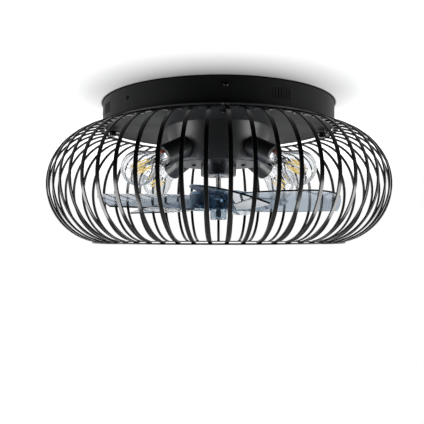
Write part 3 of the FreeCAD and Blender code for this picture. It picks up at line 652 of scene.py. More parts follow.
def publish(mesh: BMesh, name: str, finish: Surface, slot: Slot, body: Body, *nodes: str) -> None:
    """Make an object of a mesh, dress it and let it ride on its body.

    Args:
        mesh: the mesh, which is freed.
        name: the piece's name.
        finish: the piece's finish.
        slot: the record's slot that the finish stands for; not used.
        body: the body that it rides on.
        *nodes: the nodes that it stands for.
    """
    piece = as_object(mesh, name)
    data = piece.data
    data.polygons.foreach_set("use_smooth", [True] * len(data.polygons))
    data.set_sharp_from_angle(angle=SHARP)
    data.materials.append(finish.material())
    piece.modifiers.new("even_normals", "WEIGHTED_NORMAL").keep_sharp = True
    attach(piece, body.value)
    if nodes:
        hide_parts(*nodes)
    LOG.info("%s: %d faces on %s", name, len(data.polygons), body.value)


def dress(finish: Surface, *nodes: str) -> None:
    """Give nodes that keep their own mesh a finish.

    Args:
        finish: the finish.
        *nodes: the nodes' names.
    """
    for node in nodes:
        data = bpy.data.objects[node].data
        data.materials.clear()
        data.materials.append(finish.material())
        LOG.info("%s keeps its mesh and takes %s", node, finish.name)


# Sub-assemblies


@dataclass
class CeilingMount:
    """The plate on the ceiling with the mains terminal block under it."""

    plate_edge: float = 0.0004
    poles: int = 3
    turn: float = 93.0
    reach: float = 0.045
    length: float = 0.018
    width: float = 0.038
    height: float = 0.014
    top: float = -0.002
    base_share: float = 0.62
    tower_length_share: float = 0.8
    tower_width_share: float = 0.78
    tower_edge: float = 0.0006
    hole_radius_share: float = 0.22
    hole_depth_share: float = 0.5
    hole_segments: int = 20

    def build(self) -> None:
        """Build the plate and the terminal block."""
        publish(refined("ceiling_plate", self.plate_edge), "mount_plate", ZINC_STEEL, Slot.ZINC, Body.FRAME,
                "ceiling_plate")
        publish(self.terminal(), "mains_terminal", TERMINAL_PLASTIC, Slot.HOLDER, Body.FRAME,
                "terminal_block")

    def terminal(self) -> BMesh:
        """Make the terminal block with a step for each pole and a hole for each screw.

        Returns:
            The block's mesh.
        """
        pitch = self.width / self.poles
        base = self.height * self.base_share
        rise = self.height - base
        parts = [block((self.length, self.width, base), (self.reach, 0.0, self.top - base / 2))]
        for pole in range(self.poles):
            aside = (pole - (self.poles - 1) / 2) * pitch
            tower = block((self.length * self.tower_length_share, pitch * self.tower_width_share, rise),
                          (self.reach, aside, self.top - base - rise / 2))
            hole = rod(pitch * self.hole_radius_share, self.height * self.hole_depth_share,
                       self.hole_segments)
            placed(hole, Matrix.Translation((self.reach, aside, self.top - self.height)))
            parts.append(carved(soften(tower, self.tower_edge), hole))
        return placed(joined(*parts), Matrix.Rotation(radians(self.turn), 4, "Z"))


@dataclass
class Canopy:
    """The shallow pan at the ceiling with its screws, receiver window and control box."""

    radius: float = 0.173
    floor_height: float = -0.0315
    edge: float = 0.0006
    screw_height: float = -0.0105
    screw_turn: float = 3.0
    head_radius: float = 0.0036
    head_height: float = 0.0024
    shank_radius: float = 0.002
    shank_length: float = 0.008
    screw_count: int = 4
    window_edge: float = 0.0002
    box_size: Place = (0.046, 0.084, 0.020)
    box_reach: float = 0.112
    box_turn: float = 135.0
    tray_share: float = 0.68
    tray_edge: float = 0.0015
    lid_shares: Place = (0.97, 0.985, 0.28)
    lid_edge: float = 0.0012
    rib_count: int = 5
    rib_pitch_share: float = 0.15
    rib_length_share: float = 0.6
    rib_rise_share: float = 0.02
    rib_width: float = 0.0014
    rib_edge: float = 0.0001

    def build(self) -> None:
        """Build the pan and what is fixed to it."""
        publish(refined("canopy_shell", self.edge), "canopy_pan", BLACK_PAINT, Slot.BLACK_METAL, Body.FRAME,
                "canopy_shell")
        publish(self.side_screws(), "canopy_side_screws", DARK_SCREW, Slot.ZINC, Body.FRAME, "canopy_screws")
        publish(self.control_box(), "driver_box", BOX_PLASTIC, Slot.BOX, Body.FRAME, "control_box")
        publish(refined("receiver_window", self.window_edge), "receiver_pane", RECEIVER_PLASTIC,
                Slot.RECEIVER, Body.FRAME, "receiver_window")

    def side_screws(self) -> BMesh:
        """Make the screws round the pan's wall.

        Returns:
            The screws' mesh.
        """
        shape = screw(self.head_radius, self.head_height, self.shank_radius, self.shank_length)
        placed(shape, Matrix.Rotation(RIGHT_ANGLE, 4, "Y"),
               Matrix.Translation((self.radius, 0.0, self.screw_height)),
               Matrix.Rotation(radians(self.screw_turn), 4, "Z"))
        return copied_round(shape, self.screw_count)

    def control_box(self) -> BMesh:
        """Make the control box with its lid line and its ribs.

        Returns:
            The box's mesh.
        """
        wide, long, high = self.box_size
        lid_wide, lid_long, lid_high = (size * share for size, share in zip(self.box_size, self.lid_shares))
        rib_rise = high * self.rib_rise_share
        lid_top = high - rib_rise
        tray = block((wide, long, high * self.tray_share), (0.0, 0.0, high * self.tray_share / 2))
        lid = block((lid_wide, lid_long, lid_high), (0.0, 0.0, lid_top - lid_high / 2))
        parts = [soften(tray, self.tray_edge, FINE_ROUNDING), soften(lid, self.lid_edge, FINE_ROUNDING)]
        for number in range(self.rib_count):
            aside = (number - (self.rib_count - 1) / 2) * long * self.rib_pitch_share
            rib = block((wide * self.rib_length_share, self.rib_width, rib_rise),
                        (0.0, aside, lid_top + rib_rise / 2))
            parts.append(soften(rib, self.rib_edge))
        return placed(joined(*parts), Matrix.Translation((self.box_reach, 0.0, self.floor_height)),
                      Matrix.Rotation(radians(self.box_turn), 4, "Z"))


@dataclass
class DrumAndMotor:
    """The tapered drum under the canopy, with the motor whose nose stands out below."""

    top_radius: float = 0.080
    bottom_radius: float = 0.0646
    top: float = -0.033
    bottom: float = -0.0864
    wall: float = 0.0015
    floor: float = 0.002
    flange: float = 0.016
    edge: float = 0.0018
    nose_radius: float = 0.027
    nose_bottom: float = -0.104
    nose_hole: float = 0.008
    case_radius: float = 0.045
    lid_under: float = -0.048
    lid_edge: float = 0.0005
    bore_gap: float = 0.0001
    groove_shares: tuple[float, ...] = (0.62, 0.64, 0.70, 0.72)
    groove_depth: float = 0.0006
    nose_chamfer: float = 0.001
    case_wall: float = 0.003
    case_edge: float = 0.0003
    screw_reach: float = 0.0376
    head_radius: float = 0.0036
    head_height: float = 0.0022
    shank_radius: float = 0.002
    shank_length: float = 0.0044
    screw_count: int = 4
    drum_steps: int = 128
    rim_segments: int = 4
    case_steps: int = 96

    def build(self) -> None:
        """Build the drum, the motor's case and lid and the screws, and dress what is inside."""
        publish(self.drum(), "drum_shell", SHADED_DRUM_PAINT, Slot.BLACK_METAL, Body.FRAME, "drum_housing")
        publish(self.motor_case(), "motor_nose_case", MOTOR_METAL, Slot.MOTOR, Body.FRAME, "motor_case")
        publish(refined("motor_lid", self.lid_edge), "motor_top_lid", MOTOR_METAL, Slot.MOTOR, Body.FRAME,
                "motor_lid")
        publish(self.under_screws(), "drum_under_screws", BLACK_PAINT, Slot.BLACK_METAL, Body.FRAME,
                "motor_screws")
        dress(ZINC_STEEL, "drum_screws")
        dress(BEARING_STEEL, "upper_bearing", "lower_bearing")
        dress(CORE_IRON, "stator_core", "rotor_core")
        dress(COPPER, "stator_windings")

    def drum(self) -> BMesh:
        """Make the drum's wall, floor and flange.

        Returns:
            The drum's mesh.
        """
        slope = (self.top_radius - self.bottom_radius) / (self.top - self.bottom)
        bore = self.nose_radius + self.bore_gap
        shape = spun([
            (bore, self.bottom),
            (self.bottom_radius, self.bottom),
            (self.top_radius, self.top),
            (self.top_radius - self.flange, self.top),
            (self.top_radius - self.flange, self.top - self.floor),
            (self.top_radius - self.wall - self.floor * slope, self.top - self.floor),
            (self.bottom_radius - self.wall + self.floor * slope, self.bottom + self.floor),
            (bore, self.bottom + self.floor),
        ], self.drum_steps)
        rim = [edge for edge in shape.edges
               if all(abs(vert.co.z - self.bottom) < WELD and hypot(vert.co.x, vert.co.y) > self.screw_reach
                      for vert in edge.verts) and edge.calc_face_angle() > SHARP]
        bmesh.ops.bevel(shape, geom=rim, offset=self.edge, offset_type="OFFSET", affect="EDGES",
                        segments=self.rim_segments, profile=0.5, material=-1)
        return shape

    def motor_case(self) -> BMesh:
        """Make the motor's case, with a groove in the end of its nose.

        Returns:
            The case's mesh.
        """
        floor_top = self.bottom + self.floor
        low = self.nose_bottom
        levels = (low, low + self.groove_depth, low + self.groove_depth, low)
        inner = self.case_radius - self.case_wall
        shape = spun([
            (self.nose_hole, low),
            *((self.nose_radius * share, level) for share, level in zip(self.groove_shares, levels)),
            (self.nose_radius - self.nose_chamfer, low),
            (self.nose_radius, low + self.nose_chamfer),
            (self.nose_radius, floor_top),
            (self.case_radius, floor_top),
            (self.case_radius, self.lid_under),
            (inner, self.lid_under),
            (inner, floor_top + self.case_wall),
            (self.nose_hole, floor_top + self.case_wall),
        ], self.case_steps)
        return soften(shape, self.case_edge)

    def under_screws(self) -> BMesh:
        """Make the screws in the drum's flat bottom.

        Returns:
            The screws' mesh.
        """
        shape = screw(self.head_radius, self.head_height, self.shank_radius, self.shank_length)
        placed(shape, Matrix.Rotation(pi, 4, "X"), Matrix.Translation((self.screw_reach, 0.0, self.bottom)))
        return copied_round(shape, self.screw_count)


@dataclass
class Rotor:
    """The shaft with the smoke-coloured hub and blades and the clear lock nut."""

    blade_count: int = 5
    blade_turn: float = -86.0
    reaches: tuple[float, ...] = (0.014, 0.052, 0.112, 0.184)
    chords: tuple[float, ...] = (0.040, 0.064, 0.090, 0.102)
    pitches: tuple[float, ...] = (28.0, 22.0, 16.0, 13.0)
    tip_radius: float = 0.181
    corner_radius: float = 0.044
    thickness: float = 0.0022
    blade_edge_share: float = 0.3
    blade_steps: tuple[int, int] = (40, 24)
    camber: float = 0.003
    camber_run: float = 0.02
    middle: float = -0.145
    hub_radius: float = 0.044
    hub_top: float = -0.128
    hub_bottom: float = -0.1555
    hub_wall: float = 0.0022
    hub_roof: float = 0.0045
    hub_corner: float = 0.003
    corner_share: float = 0.3
    hub_edge: float = 0.0004
    hub_steps: int = 72
    rib_gap: float = 0.0002
    rib_width: float = 0.0016
    rib_edge: float = 0.0003
    boss_radius: float = 0.0145
    bore: float = 0.0041
    slot_length: float = 0.0242
    slot_width: float = 0.0032
    nut_radius: float = 0.0125
    nut_bottom: float = -0.1702
    nut_floor: float = 0.0022
    nut_foot_share: float = 0.80
    nut_bevel_share: float = 0.94
    nut_bevel_low: float = 0.0006
    nut_bevel_high: float = 0.0022
    nut_chamfer: float = 0.0008
    nut_steps: int = 144
    nut_flutes: int = 18
    flute_depth: float = 0.0003
    flute_share: float = 0.9
    shaft_edge: float = 0.0004
    thread_end: float = -0.1658
    thread_radius: float = 0.00408
    thread_depth: float = 0.00006
    thread_turns: int = 9
    thread_steps: int = 48

    def build(self) -> None:
        """Build the shaft, the blades, the hub, the nut and the thread in it."""
        publish(refined("motor_shaft", self.shaft_edge), "rotor_shaft", BEARING_STEEL, Slot.BEARING,
                Body.ROTOR, "motor_shaft")
        publish(self.blades(), "rotor_blades", SMOKE_PLASTIC, Slot.SMOKE, Body.ROTOR, "blade_rotor")
        publish(joined(self.hub(), self.ribs()), "rotor_hub", HUB_PLASTIC, Slot.SMOKE, Body.ROTOR)
        publish(self.nut(), "rotor_lock_nut", CLEAR_PLASTIC, Slot.CLEAR, Body.ROTOR, "lock_nut")
        publish(self.thread(), "shaft_thread", DARK_SCREW, Slot.BEARING, Body.ROTOR)
        dress(ZINC_STEEL, "drive_pin")

    @staticmethod
    def through(places: tuple[float, ...], values: tuple[float, ...], place: float) -> float:
        """Read a smooth curve through a few stations.

        Args:
            places: the stations' places.
            values: the stations' values.
            place: where to read.

        Returns:
            The curve's value there.
        """
        total = 0.0
        for own, value in zip(places, values):
            weight = 1.0
            for other in places:
                if other != own:
                    weight *= (place - other) / (own - other)
            total += value * weight
        return total

    def tip_reach(self, aside: float) -> float:
        """Give how far the blade reaches at a place across it, with its leading corner rounded.

        Args:
            aside: the place across the blade, negative at the leading edge.

        Returns:
            The reach along the blade.
        """
        half = self.chords[-1] / 2 * cos(radians(self.pitches[-1]))
        corner_aside = half - self.corner_radius
        corner_ahead = sqrt((self.tip_radius - self.corner_radius) ** 2 - corner_aside ** 2)
        if aside < -corner_aside:
            return corner_ahead + sqrt(max(self.corner_radius ** 2 - (aside + corner_aside) ** 2, 0.0))
        return sqrt(self.tip_radius ** 2 - aside ** 2)

    def blades(self) -> BMesh:
        """Make the blades from a shaped grid.

        Returns:
            The blades' mesh.
        """
        mesh = bmesh.new()
        steps_along, steps_across = self.blade_steps
        bmesh.ops.create_grid(mesh, x_segments=steps_along, y_segments=steps_across, size=1.0)
        half = self.chords[-1] / 2 * cos(radians(self.pitches[-1]))
        foot = self.hub_radius - self.hub_wall / 2
        foot_half = self.through(self.reaches, self.chords, foot) / 2
        foot_half *= cos(radians(self.through(self.reaches, self.pitches, foot)))
        for vert in mesh.verts:
            across = sin(vert.co.y * RIGHT_ANGLE)
            share = sin((vert.co.x + 1) / 2 * RIGHT_ANGLE)
            root = sqrt(foot ** 2 - (across * foot_half) ** 2)
            reach = root + (self.tip_reach(across * half) - root) * share
            chord = self.through(self.reaches, self.chords, reach)
            pitch = radians(self.through(self.reaches, self.pitches, reach))
            along = across * chord / 2
            crown = self.camber * (1 - across ** 2) * min(1.0, (reach - root) / self.camber_run)
            vert.co = (reach, along * cos(pitch), self.middle - along * sin(pitch) + crown)
        bmesh.ops.recalc_face_normals(mesh, faces=mesh.faces)
        bmesh.ops.solidify(mesh, geom=mesh.faces[:], thickness=self.thickness)
        bmesh.ops.recalc_face_normals(mesh, faces=mesh.faces)
        soften(mesh, self.thickness * self.blade_edge_share, angle=STEEP)
        placed(mesh, Matrix.Rotation(radians(self.blade_turn), 4, "Z"))
        return copied_round(mesh, self.blade_count)

    def hub(self) -> BMesh:
        """Make the hub as a cup with a boss, and the slot for the drive pin in its roof.

        Returns:
            The hub's mesh.
        """
        under = self.hub_top - self.hub_roof
        bend = self.hub_corner * self.corner_share
        shape = spun([
            (self.bore, self.hub_top),
            (self.hub_radius - self.hub_corner, self.hub_top),
            (self.hub_radius - bend, self.hub_top - bend),
            (self.hub_radius, self.hub_top - self.hub_corner),
            (self.hub_radius, self.hub_bottom),
            (self.hub_radius - self.hub_wall, self.hub_bottom),
            (self.hub_radius - self.hub_wall, under),
            (self.boss_radius, under),
            (self.boss_radius, self.hub_bottom),
            (self.bore, self.hub_bottom),
        ], self.hub_steps)
        soften(shape, self.hub_edge, angle=STEEP)
        slot = block((self.slot_length, self.slot_width, 2 * self.slot_width), (0.0, 0.0, self.hub_top))
        return carved(shape, slot)

    def ribs(self) -> BMesh:
        """Make the ribs between the hub's boss and its wall.

        Returns:
            The ribs' mesh.
        """
        start = self.boss_radius + self.rib_gap
        end = self.hub_radius - self.hub_wall - self.rib_gap
        under = self.hub_top - self.hub_roof - self.rib_gap
        foot = self.hub_bottom + self.hub_wall
        rib = block((end - start, self.rib_width, under - foot), ((start + end) / 2, 0.0, (under + foot) / 2))
        return copied_round(soften(rib, self.rib_edge), self.blade_count)

    def thread(self) -> BMesh:
        """Make the dark thread on the shaft's end, inside the nut.

        Returns:
            The thread's mesh.
        """
        inner = self.thread_radius - 2 * self.thread_depth
        pitch = (self.hub_bottom - self.thread_end) / self.thread_turns
        profile = [(inner, self.thread_end), (self.thread_radius - self.thread_depth, self.thread_end)]
        for turn in range(self.thread_turns):
            foot = self.thread_end + turn * pitch
            profile.append((self.thread_radius, foot + pitch / 2))
            profile.append((self.thread_radius - self.thread_depth, foot + pitch))
        profile.append((inner, self.hub_bottom))
        return spun(profile, self.thread_steps)

    def nut(self) -> BMesh:
        """Make the blind nut with grip flutes.

        Returns:
            The nut's mesh.
        """
        shape = spun([
            (0.0, self.nut_bottom),
            (self.nut_radius * self.nut_foot_share, self.nut_bottom),
            (self.nut_radius * self.nut_bevel_share, self.nut_bottom + self.nut_bevel_low),
            (self.nut_radius, self.nut_bottom + self.nut_bevel_high),
            (self.nut_radius, self.hub_bottom - self.nut_chamfer),
            (self.nut_radius - self.nut_chamfer, self.hub_bottom),
            (self.bore, self.hub_bottom),
            (self.bore, self.nut_bottom + self.nut_floor),
            (0.0, self.nut_bottom + self.nut_floor),
        ], self.nut_steps, closed=False)
        return fluted(shape, self.nut_flutes, self.flute_depth, self.nut_radius * self.flute_share)


@dataclass
class Lamp:
    """One lamp: the tube on the drum, the holder in it, and the bulb that screws in."""

    number: int
    turn: float
    reach: float = 0.150
    drop: float = 0.1045
    tilt: float = 25.0
    globe: float = 0.02375
    glass_wall: float = 0.0008
    shoulder: float = 22.4
    throat: float = 0.0125
    throat_end: float = 0.052
    plug_length: float = 0.005
    cap_radius: float = 0.007
    cap_length: float = 0.017
    flange: float = 0.001
    pip_radius: float = 0.0024
    pip_height: float = 0.0025
    tube_edge: float = 0.0004
    bend: float = 0.010
    bend_steps: int = 8
    globe_steps: int = 26
    glass_steps: int = 96
    flange_edge: float = 0.0004
    thread_rounds: int = 5
    thread_steps: int = 8
    thread_depth: float = 0.0006
    thread_share: float = 0.9
    cap_end_share: float = 0.72
    pip_height_share: float = 0.7
    pip_end_share: float = 0.6
    cap_steps: int = 48
    stem_foot: float = 0.007
    stem_waist: float = 0.0026
    waist_back: float = 0.018
    rod_radius: float = 0.001
    stem_top: float = 0.009
    flare_share: float = 0.82
    flare_rise: float = 0.004
    taper_share: float = 1.5
    waist_run: float = 0.003
    neck_share: float = 0.9
    neck_run: float = 0.002
    bead_shares: tuple[float, ...] = (1.0, 1.9, 1.5, 0.0)
    bead_rises: tuple[float, ...] = (-0.002, -0.0005, 0.001, 0.0016)
    stem_steps: int = 32
    stick_count: int = 6
    stick_radius: float = 0.0009
    stick_reach: float = 0.0068
    stick_lean: float = 6.0
    stick_length_share: float = 0.9
    stick_edge_share: float = 0.4
    stick_edge_angle: float = 50.0
    stick_segments: int = 16
    wire_radius: float = 0.00035
    tail_radius_share: float = 1.4
    tail_length_share: float = 0.1
    wire_segments: int = 10
    cup_gap: float = 0.0003
    cup_clear: float = 0.0002
    cup_lip: float = 0.0012
    cup_depth: float = 0.0015
    cup_steps: int = 40
    blob_radius: float = 0.0042
    blob_shares: Place = (0.9, 1.25, 0.9)
    blob_reach_share: float = 0.95
    blob_rise: float = 0.0015
    blob_fineness: int = 3
    blob_smoothing: float = 0.3

    def build(self) -> None:
        """Build the lamp's pieces."""
        own = self.number
        bulb = Body(f"bulb_{own}")
        publish(refined(f"socket_cover_{own}", self.tube_edge), f"socket_tube_{own}", SHADED_DRUM_PAINT,
                Slot.BLACK_METAL, Body.FRAME, f"socket_cover_{own}")
        dress(HOLDER_PLASTIC, f"lamp_holder_{own}")
        publish(self.glass(), f"globe_{own}", BULB_GLASS, Slot.GLASS, bulb, f"bulb_glass_{own}")
        publish(self.cap(), f"cap_{own}", BULB_CAP, Slot.CAP, bulb, f"bulb_cap_{own}")
        publish(self.sticks(), f"filament_sticks_{own}", FILAMENT, Slot.FILAMENT, bulb,
                f"bulb_filaments_{own}")
        publish(self.stem(), f"stem_glass_{own}", BULB_GLASS, Slot.GLASS, bulb)
        publish(self.wires(), f"stem_wires_{own}", SUPPORT_WIRE, Slot.CAP, bulb)
        publish(self.driver(), f"driver_cup_{own}", SHADED_CUP_PLASTIC, Slot.HOLDER, bulb)
        publish(self.resin(), f"driver_resin_{own}", RESIN_BROWN, Slot.HOLDER, bulb)

    def seated(self, mesh: BMesh) -> BMesh:
        """Move a mesh from the globe's own axes, with +Z outwards, to the lamp's place.

        Args:
            mesh: the mesh to change.

        Returns:
            The same mesh.
        """
        return placed(mesh, Matrix.Rotation(RIGHT_ANGLE + radians(self.tilt), 4, "Y"),
                      Matrix.Translation((self.reach, 0.0, -self.drop)),
                      Matrix.Rotation(radians(self.turn), 4, "Z"))

    def outside(self, inset: float) -> Profile:
        """Give the globe's profile from its throat to its tip, taken in by an inset.

        Args:
            inset: how far inside the outer surface it lies.

        Returns:
            The profile.
        """
        slope = radians(self.shoulder)
        radius = self.globe - inset
        start = (self.globe / cos(slope) - self.throat) / tan(slope)
        flare = self.bend * tan(slope)
        points = [(self.throat - inset, -self.throat_end)]
        for step in range(self.bend_steps + 1):
            share = step / self.bend_steps
            near = (1 - share) ** 2
            far = share ** 2
            points.append((self.throat + flare * far - inset, self.bend * (far - near) - start))
        for step in range(self.globe_steps):
            angle = (RIGHT_ANGLE + slope) * (1 - step / self.globe_steps)
            points.append((radius * sin(angle), radius * cos(angle)))
        points.append((0.0, radius))
        return points

    def glass(self) -> BMesh:
        """Make the glass envelope with its thin wall.

        Returns:
            The envelope's mesh.
        """
        profile = list(reversed(self.outside(0.0))) + self.outside(self.glass_wall)
        return self.seated(spun(profile, self.glass_steps, closed=False))

    def cap(self) -> BMesh:
        """Make the screw cap with its thread.

        Returns:
            The cap's mesh.
        """
        top = -self.throat_end - self.flange
        rim = self.throat - self.flange_edge
        profile = [(0.0, -self.throat_end), (rim, -self.throat_end),
                   (self.throat, -self.throat_end - self.flange_edge), (rim, top)]
        steps = self.thread_steps * self.thread_rounds
        run = self.cap_length * self.thread_share
        for step in range(steps + 1):
            press = self.thread_depth * (1 - cos(step / self.thread_steps * FULL_TURN)) / 2
            profile.append((self.cap_radius - press, top - run * step / steps))
        end = top - self.cap_length
        profile += [
            (self.cap_radius * self.cap_end_share, end),
            (self.pip_radius, end),
            (self.pip_radius, end - self.pip_height * self.pip_height_share),
            (self.pip_radius * self.pip_end_share, end - self.pip_height),
            (0.0, end - self.pip_height),
        ]
        return self.seated(spun(profile, self.cap_steps, closed=False))

    def stem(self) -> BMesh:
        """Make the glass stem with its flared foot and the bead on its top.

        Returns:
            The stem's mesh.
        """
        foot = -self.throat_end + self.plug_length
        waist = -self.waist_back
        profile = [
            (0.0, foot),
            (self.stem_foot, foot),
            (self.stem_foot * self.flare_share, foot + self.flare_rise),
            (self.stem_waist * self.taper_share, (foot + waist) / 2),
            (self.stem_waist, waist - self.waist_run),
            (self.stem_waist * self.neck_share, waist),
            (self.rod_radius, waist + self.neck_run),
        ]
        for share, rise in zip(self.bead_shares, self.bead_rises):
            profile.append((self.rod_radius * share, self.stem_top + rise))
        return self.seated(spun(profile, self.stem_steps, closed=False))

    def stick_places(self) -> list[tuple[Matrix, float]]:
        """List the sticks' places: a leaning stick's matrix and its turn.

        Returns:
            The places.
        """
        lean = radians(self.stick_lean)
        places = []
        for number in range(self.stick_count):
            turn = FULL_TURN * number / self.stick_count
            place = (Matrix.Rotation(turn, 4, "Z")
                     @ Matrix.Translation((self.stick_reach, 0.0, (self.stem_top - self.waist_back) / 2))
                     @ Matrix.Rotation(-lean if number % 2 else lean, 4, "X"))
            places.append((place, turn))
        return places

    def sticks(self) -> BMesh:
        """Make the coated filament sticks.

        Returns:
            The sticks' mesh.
        """
        length = (self.stem_top + self.waist_back) * self.stick_length_share
        edge = self.stick_radius * self.stick_edge_share
        parts = []
        for place, _ in self.stick_places():
            stick = rod(self.stick_radius, length, self.stick_segments)
            parts.append(placed(soften(stick, edge, angle=radians(self.stick_edge_angle)), place))
        return self.seated(joined(*parts))

    def wires(self) -> BMesh:
        """Make the wires that hold the sticks: spokes at both ends and short tails on the sticks.

        Returns:
            The wires' mesh.
        """
        length = self.stem_top + self.waist_back
        tail_length = length * self.tail_length_share
        tail_middle = (length - tail_length / 2) / 2
        parts = []
        for place, turn in self.stick_places():
            for height in (-tail_middle, tail_middle):
                tail = rod(self.wire_radius * self.tail_radius_share, tail_length, self.wire_segments)
                parts.append(placed(tail, Matrix.Translation((0.0, 0.0, height)), place))
            for level in (-self.waist_back, self.stem_top):
                spoke = rod(self.wire_radius, self.stick_reach, self.wire_segments)
                parts.append(placed(spoke, Matrix.Rotation(RIGHT_ANGLE, 4, "Y"),
                                    Matrix.Translation((self.stick_reach / 2, 0.0, level)),
                                    Matrix.Rotation(turn, 4, "Z")))
        return self.seated(joined(*parts))

    def driver(self) -> BMesh:
        """Make the cup that closes the bulb's throat under the stem.

        Returns:
            The cup's mesh.
        """
        radius = self.throat - self.glass_wall - self.cup_gap
        foot = -self.throat_end + self.cup_clear
        rim = -self.throat_end + self.plug_length - self.cup_clear
        inner = radius - self.cup_lip
        well = rim - self.cup_depth
        profile = [(0.0, foot), (radius, foot), (radius, rim), (inner, rim), (inner, well), (0.0, well)]
        return self.seated(spun(profile, self.cup_steps, closed=False))

    def resin(self) -> BMesh:
        """Make the blob of brown resin beside the stem's foot.

        Returns:
            The blob's mesh.
        """
        blob = bmesh.new()
        bmesh.ops.create_icosphere(blob, subdivisions=self.blob_fineness, radius=self.blob_radius)
        height = -self.throat_end + self.plug_length + self.blob_rise
        placed(blob, Matrix.Diagonal((*self.blob_shares, 1.0)),
               Matrix.Translation((-self.stem_foot * self.blob_reach_share, 0.0, height)))
        bmesh.ops.smooth_vert(blob, verts=blob.verts, factor=self.blob_smoothing)
        return self.seated(blob)


@dataclass
class Cage:
    """The cage of bent strips between two rings, and the hangers that hold it."""

    strip_count: int = 59
    strip_turn: float = 90.0
    strip_width: float = 0.005
    strip_thickness: float = 0.002
    strip_edge: float = 0.00045
    bow_reach: float = 0.1675
    bow_height: float = -0.1215
    bow_radius: float = 0.0825
    bow_steps: int = 52
    end_margin: float = 0.001
    ring_width: float = 0.008
    ring_thickness: float = 0.002
    ring_edge: float = 0.0005
    ring_steps: int = 180
    top_ring_reach: float = 0.174
    top_ring_under: float = -0.03865
    bottom_ring_reach: float = 0.183
    bottom_ring_under: float = -0.20515
    hanger_reach: float = 0.160
    hanger_turn: float = 3.0
    hanger_count: int = 4
    tab_edge: float = 0.0004
    knob_radius: float = 0.005
    knob_height: float = 0.005
    knob_shares: tuple[tuple[float, float], ...] = (
        (0.0, 1.0), (0.85, 1.0), (1.0, 0.86), (1.0, 0.1), (0.92, 0.0))
    knob_steps: int = 80
    knob_flutes: int = 20
    flute_depth: float = 0.0003
    flute_share: float = 0.9
    shank_radius: float = 0.002
    shank_length: float = 0.0103

    def build(self) -> None:
        """Build the strips, the rings and the hangers."""
        publish(self.strips(), "cage_bows", SHADED_CAGE_PAINT, Slot.BLACK_METAL, Body.FRAME, "cage_strips")
        publish(self.ring(self.top_ring_reach, self.top_ring_under), "cage_upper_hoop", SHADED_CAGE_PAINT,
                Slot.BLACK_METAL, Body.FRAME, "cage_top_ring")
        publish(self.ring(self.bottom_ring_reach, self.bottom_ring_under), "cage_lower_hoop", SHADED_CAGE_PAINT,
                Slot.BLACK_METAL, Body.FRAME, "cage_bottom_ring")
        publish(refined("cage_tabs", self.tab_edge), "cage_hanger_tabs", SHADED_CAGE_PAINT, Slot.BLACK_METAL,
                Body.FRAME, "cage_tabs")
        publish(self.knobs(), "cage_hanger_knobs", SHADED_CAGE_PAINT, Slot.BLACK_METAL, Body.FRAME, "cage_screws")
        dress(ZINC_STEEL, "cage_spacers", "cage_nuts", "lamp_nipples")

    def end_angle(self, ring_reach: float) -> float:
        """Give the angle from a strip's widest point to its end on a ring."""
        inner = ring_reach - self.ring_width / 2 + self.end_margin
        return acos((inner - self.bow_reach) / self.bow_radius)

    def strips(self) -> BMesh:
        """Make one strip by spinning its section along its bow, and repeat it round the cage.

        Returns:
            The strips' mesh.
        """
        rise = self.end_angle(self.top_ring_reach)
        fall = self.end_angle(self.bottom_ring_reach)
        centre = Vector((self.bow_reach, 0.0, self.bow_height))
        strip = bmesh.new()
        bmesh.ops.create_grid(strip, x_segments=1, y_segments=1, size=0.5)
        placed(strip, Matrix.Diagonal((self.strip_thickness, self.strip_width, 1.0, 1.0)),
               Matrix.Translation((self.bow_radius, 0.0, 0.0)), Matrix.Rotation(-rise, 4, "Y"),
               Matrix.Translation(centre))
        bmesh.ops.spin(strip, geom=strip.verts[:] + strip.edges[:] + strip.faces[:], cent=centre, axis=Y_AXIS,
                       angle=rise + fall, steps=self.bow_steps)
        open_edges = [edge for edge in strip.edges if edge.is_boundary]
        if open_edges:
            bmesh.ops.holes_fill(strip, edges=open_edges)
        bmesh.ops.recalc_face_normals(strip, faces=strip.faces)
        soften(strip, self.strip_edge, angle=STEEP)
        placed(strip, Matrix.Rotation(radians(self.strip_turn), 4, "Z"))
        return copied_round(strip, self.strip_count)

    def ring(self, reach: float, under: float) -> BMesh:
        """Make one flat ring.

        Args:
            reach: the reach of the ring's middle line.
            under: the height of its underside.

        Returns:
            The ring's mesh.
        """
        inner = reach - self.ring_width / 2
        outer = reach + self.ring_width / 2
        top = under + self.ring_thickness
        profile = [(inner, under), (outer, under), (outer, top), (inner, top)]
        return soften(spun(profile, self.ring_steps), self.ring_edge)

    def knobs(self) -> BMesh:
        """Make the hanger screws with their fluted heads.

        Returns:
            The screws' mesh.
        """
        head = [(self.knob_radius * reach, self.knob_height * height) for reach, height in self.knob_shares]
        shank = [(self.shank_radius, 0.0), (self.shank_radius, -self.shank_length), (0.0, -self.shank_length)]
        shape = spun(head + shank, self.knob_steps, closed=False)
        fluted(shape, self.knob_flutes, self.flute_depth, self.knob_radius * self.flute_share)
        placed(shape, Matrix.Rotation(pi, 4, "X"),
               Matrix.Translation((self.hanger_reach, 0.0, self.top_ring_under)),
               Matrix.Rotation(radians(self.hanger_turn), 4, "Z"))
        return copied_round(shape, self.hanger_count)


# Stage, light and camera


WHITE = (1.0, 1.0, 1.0, 1.0)


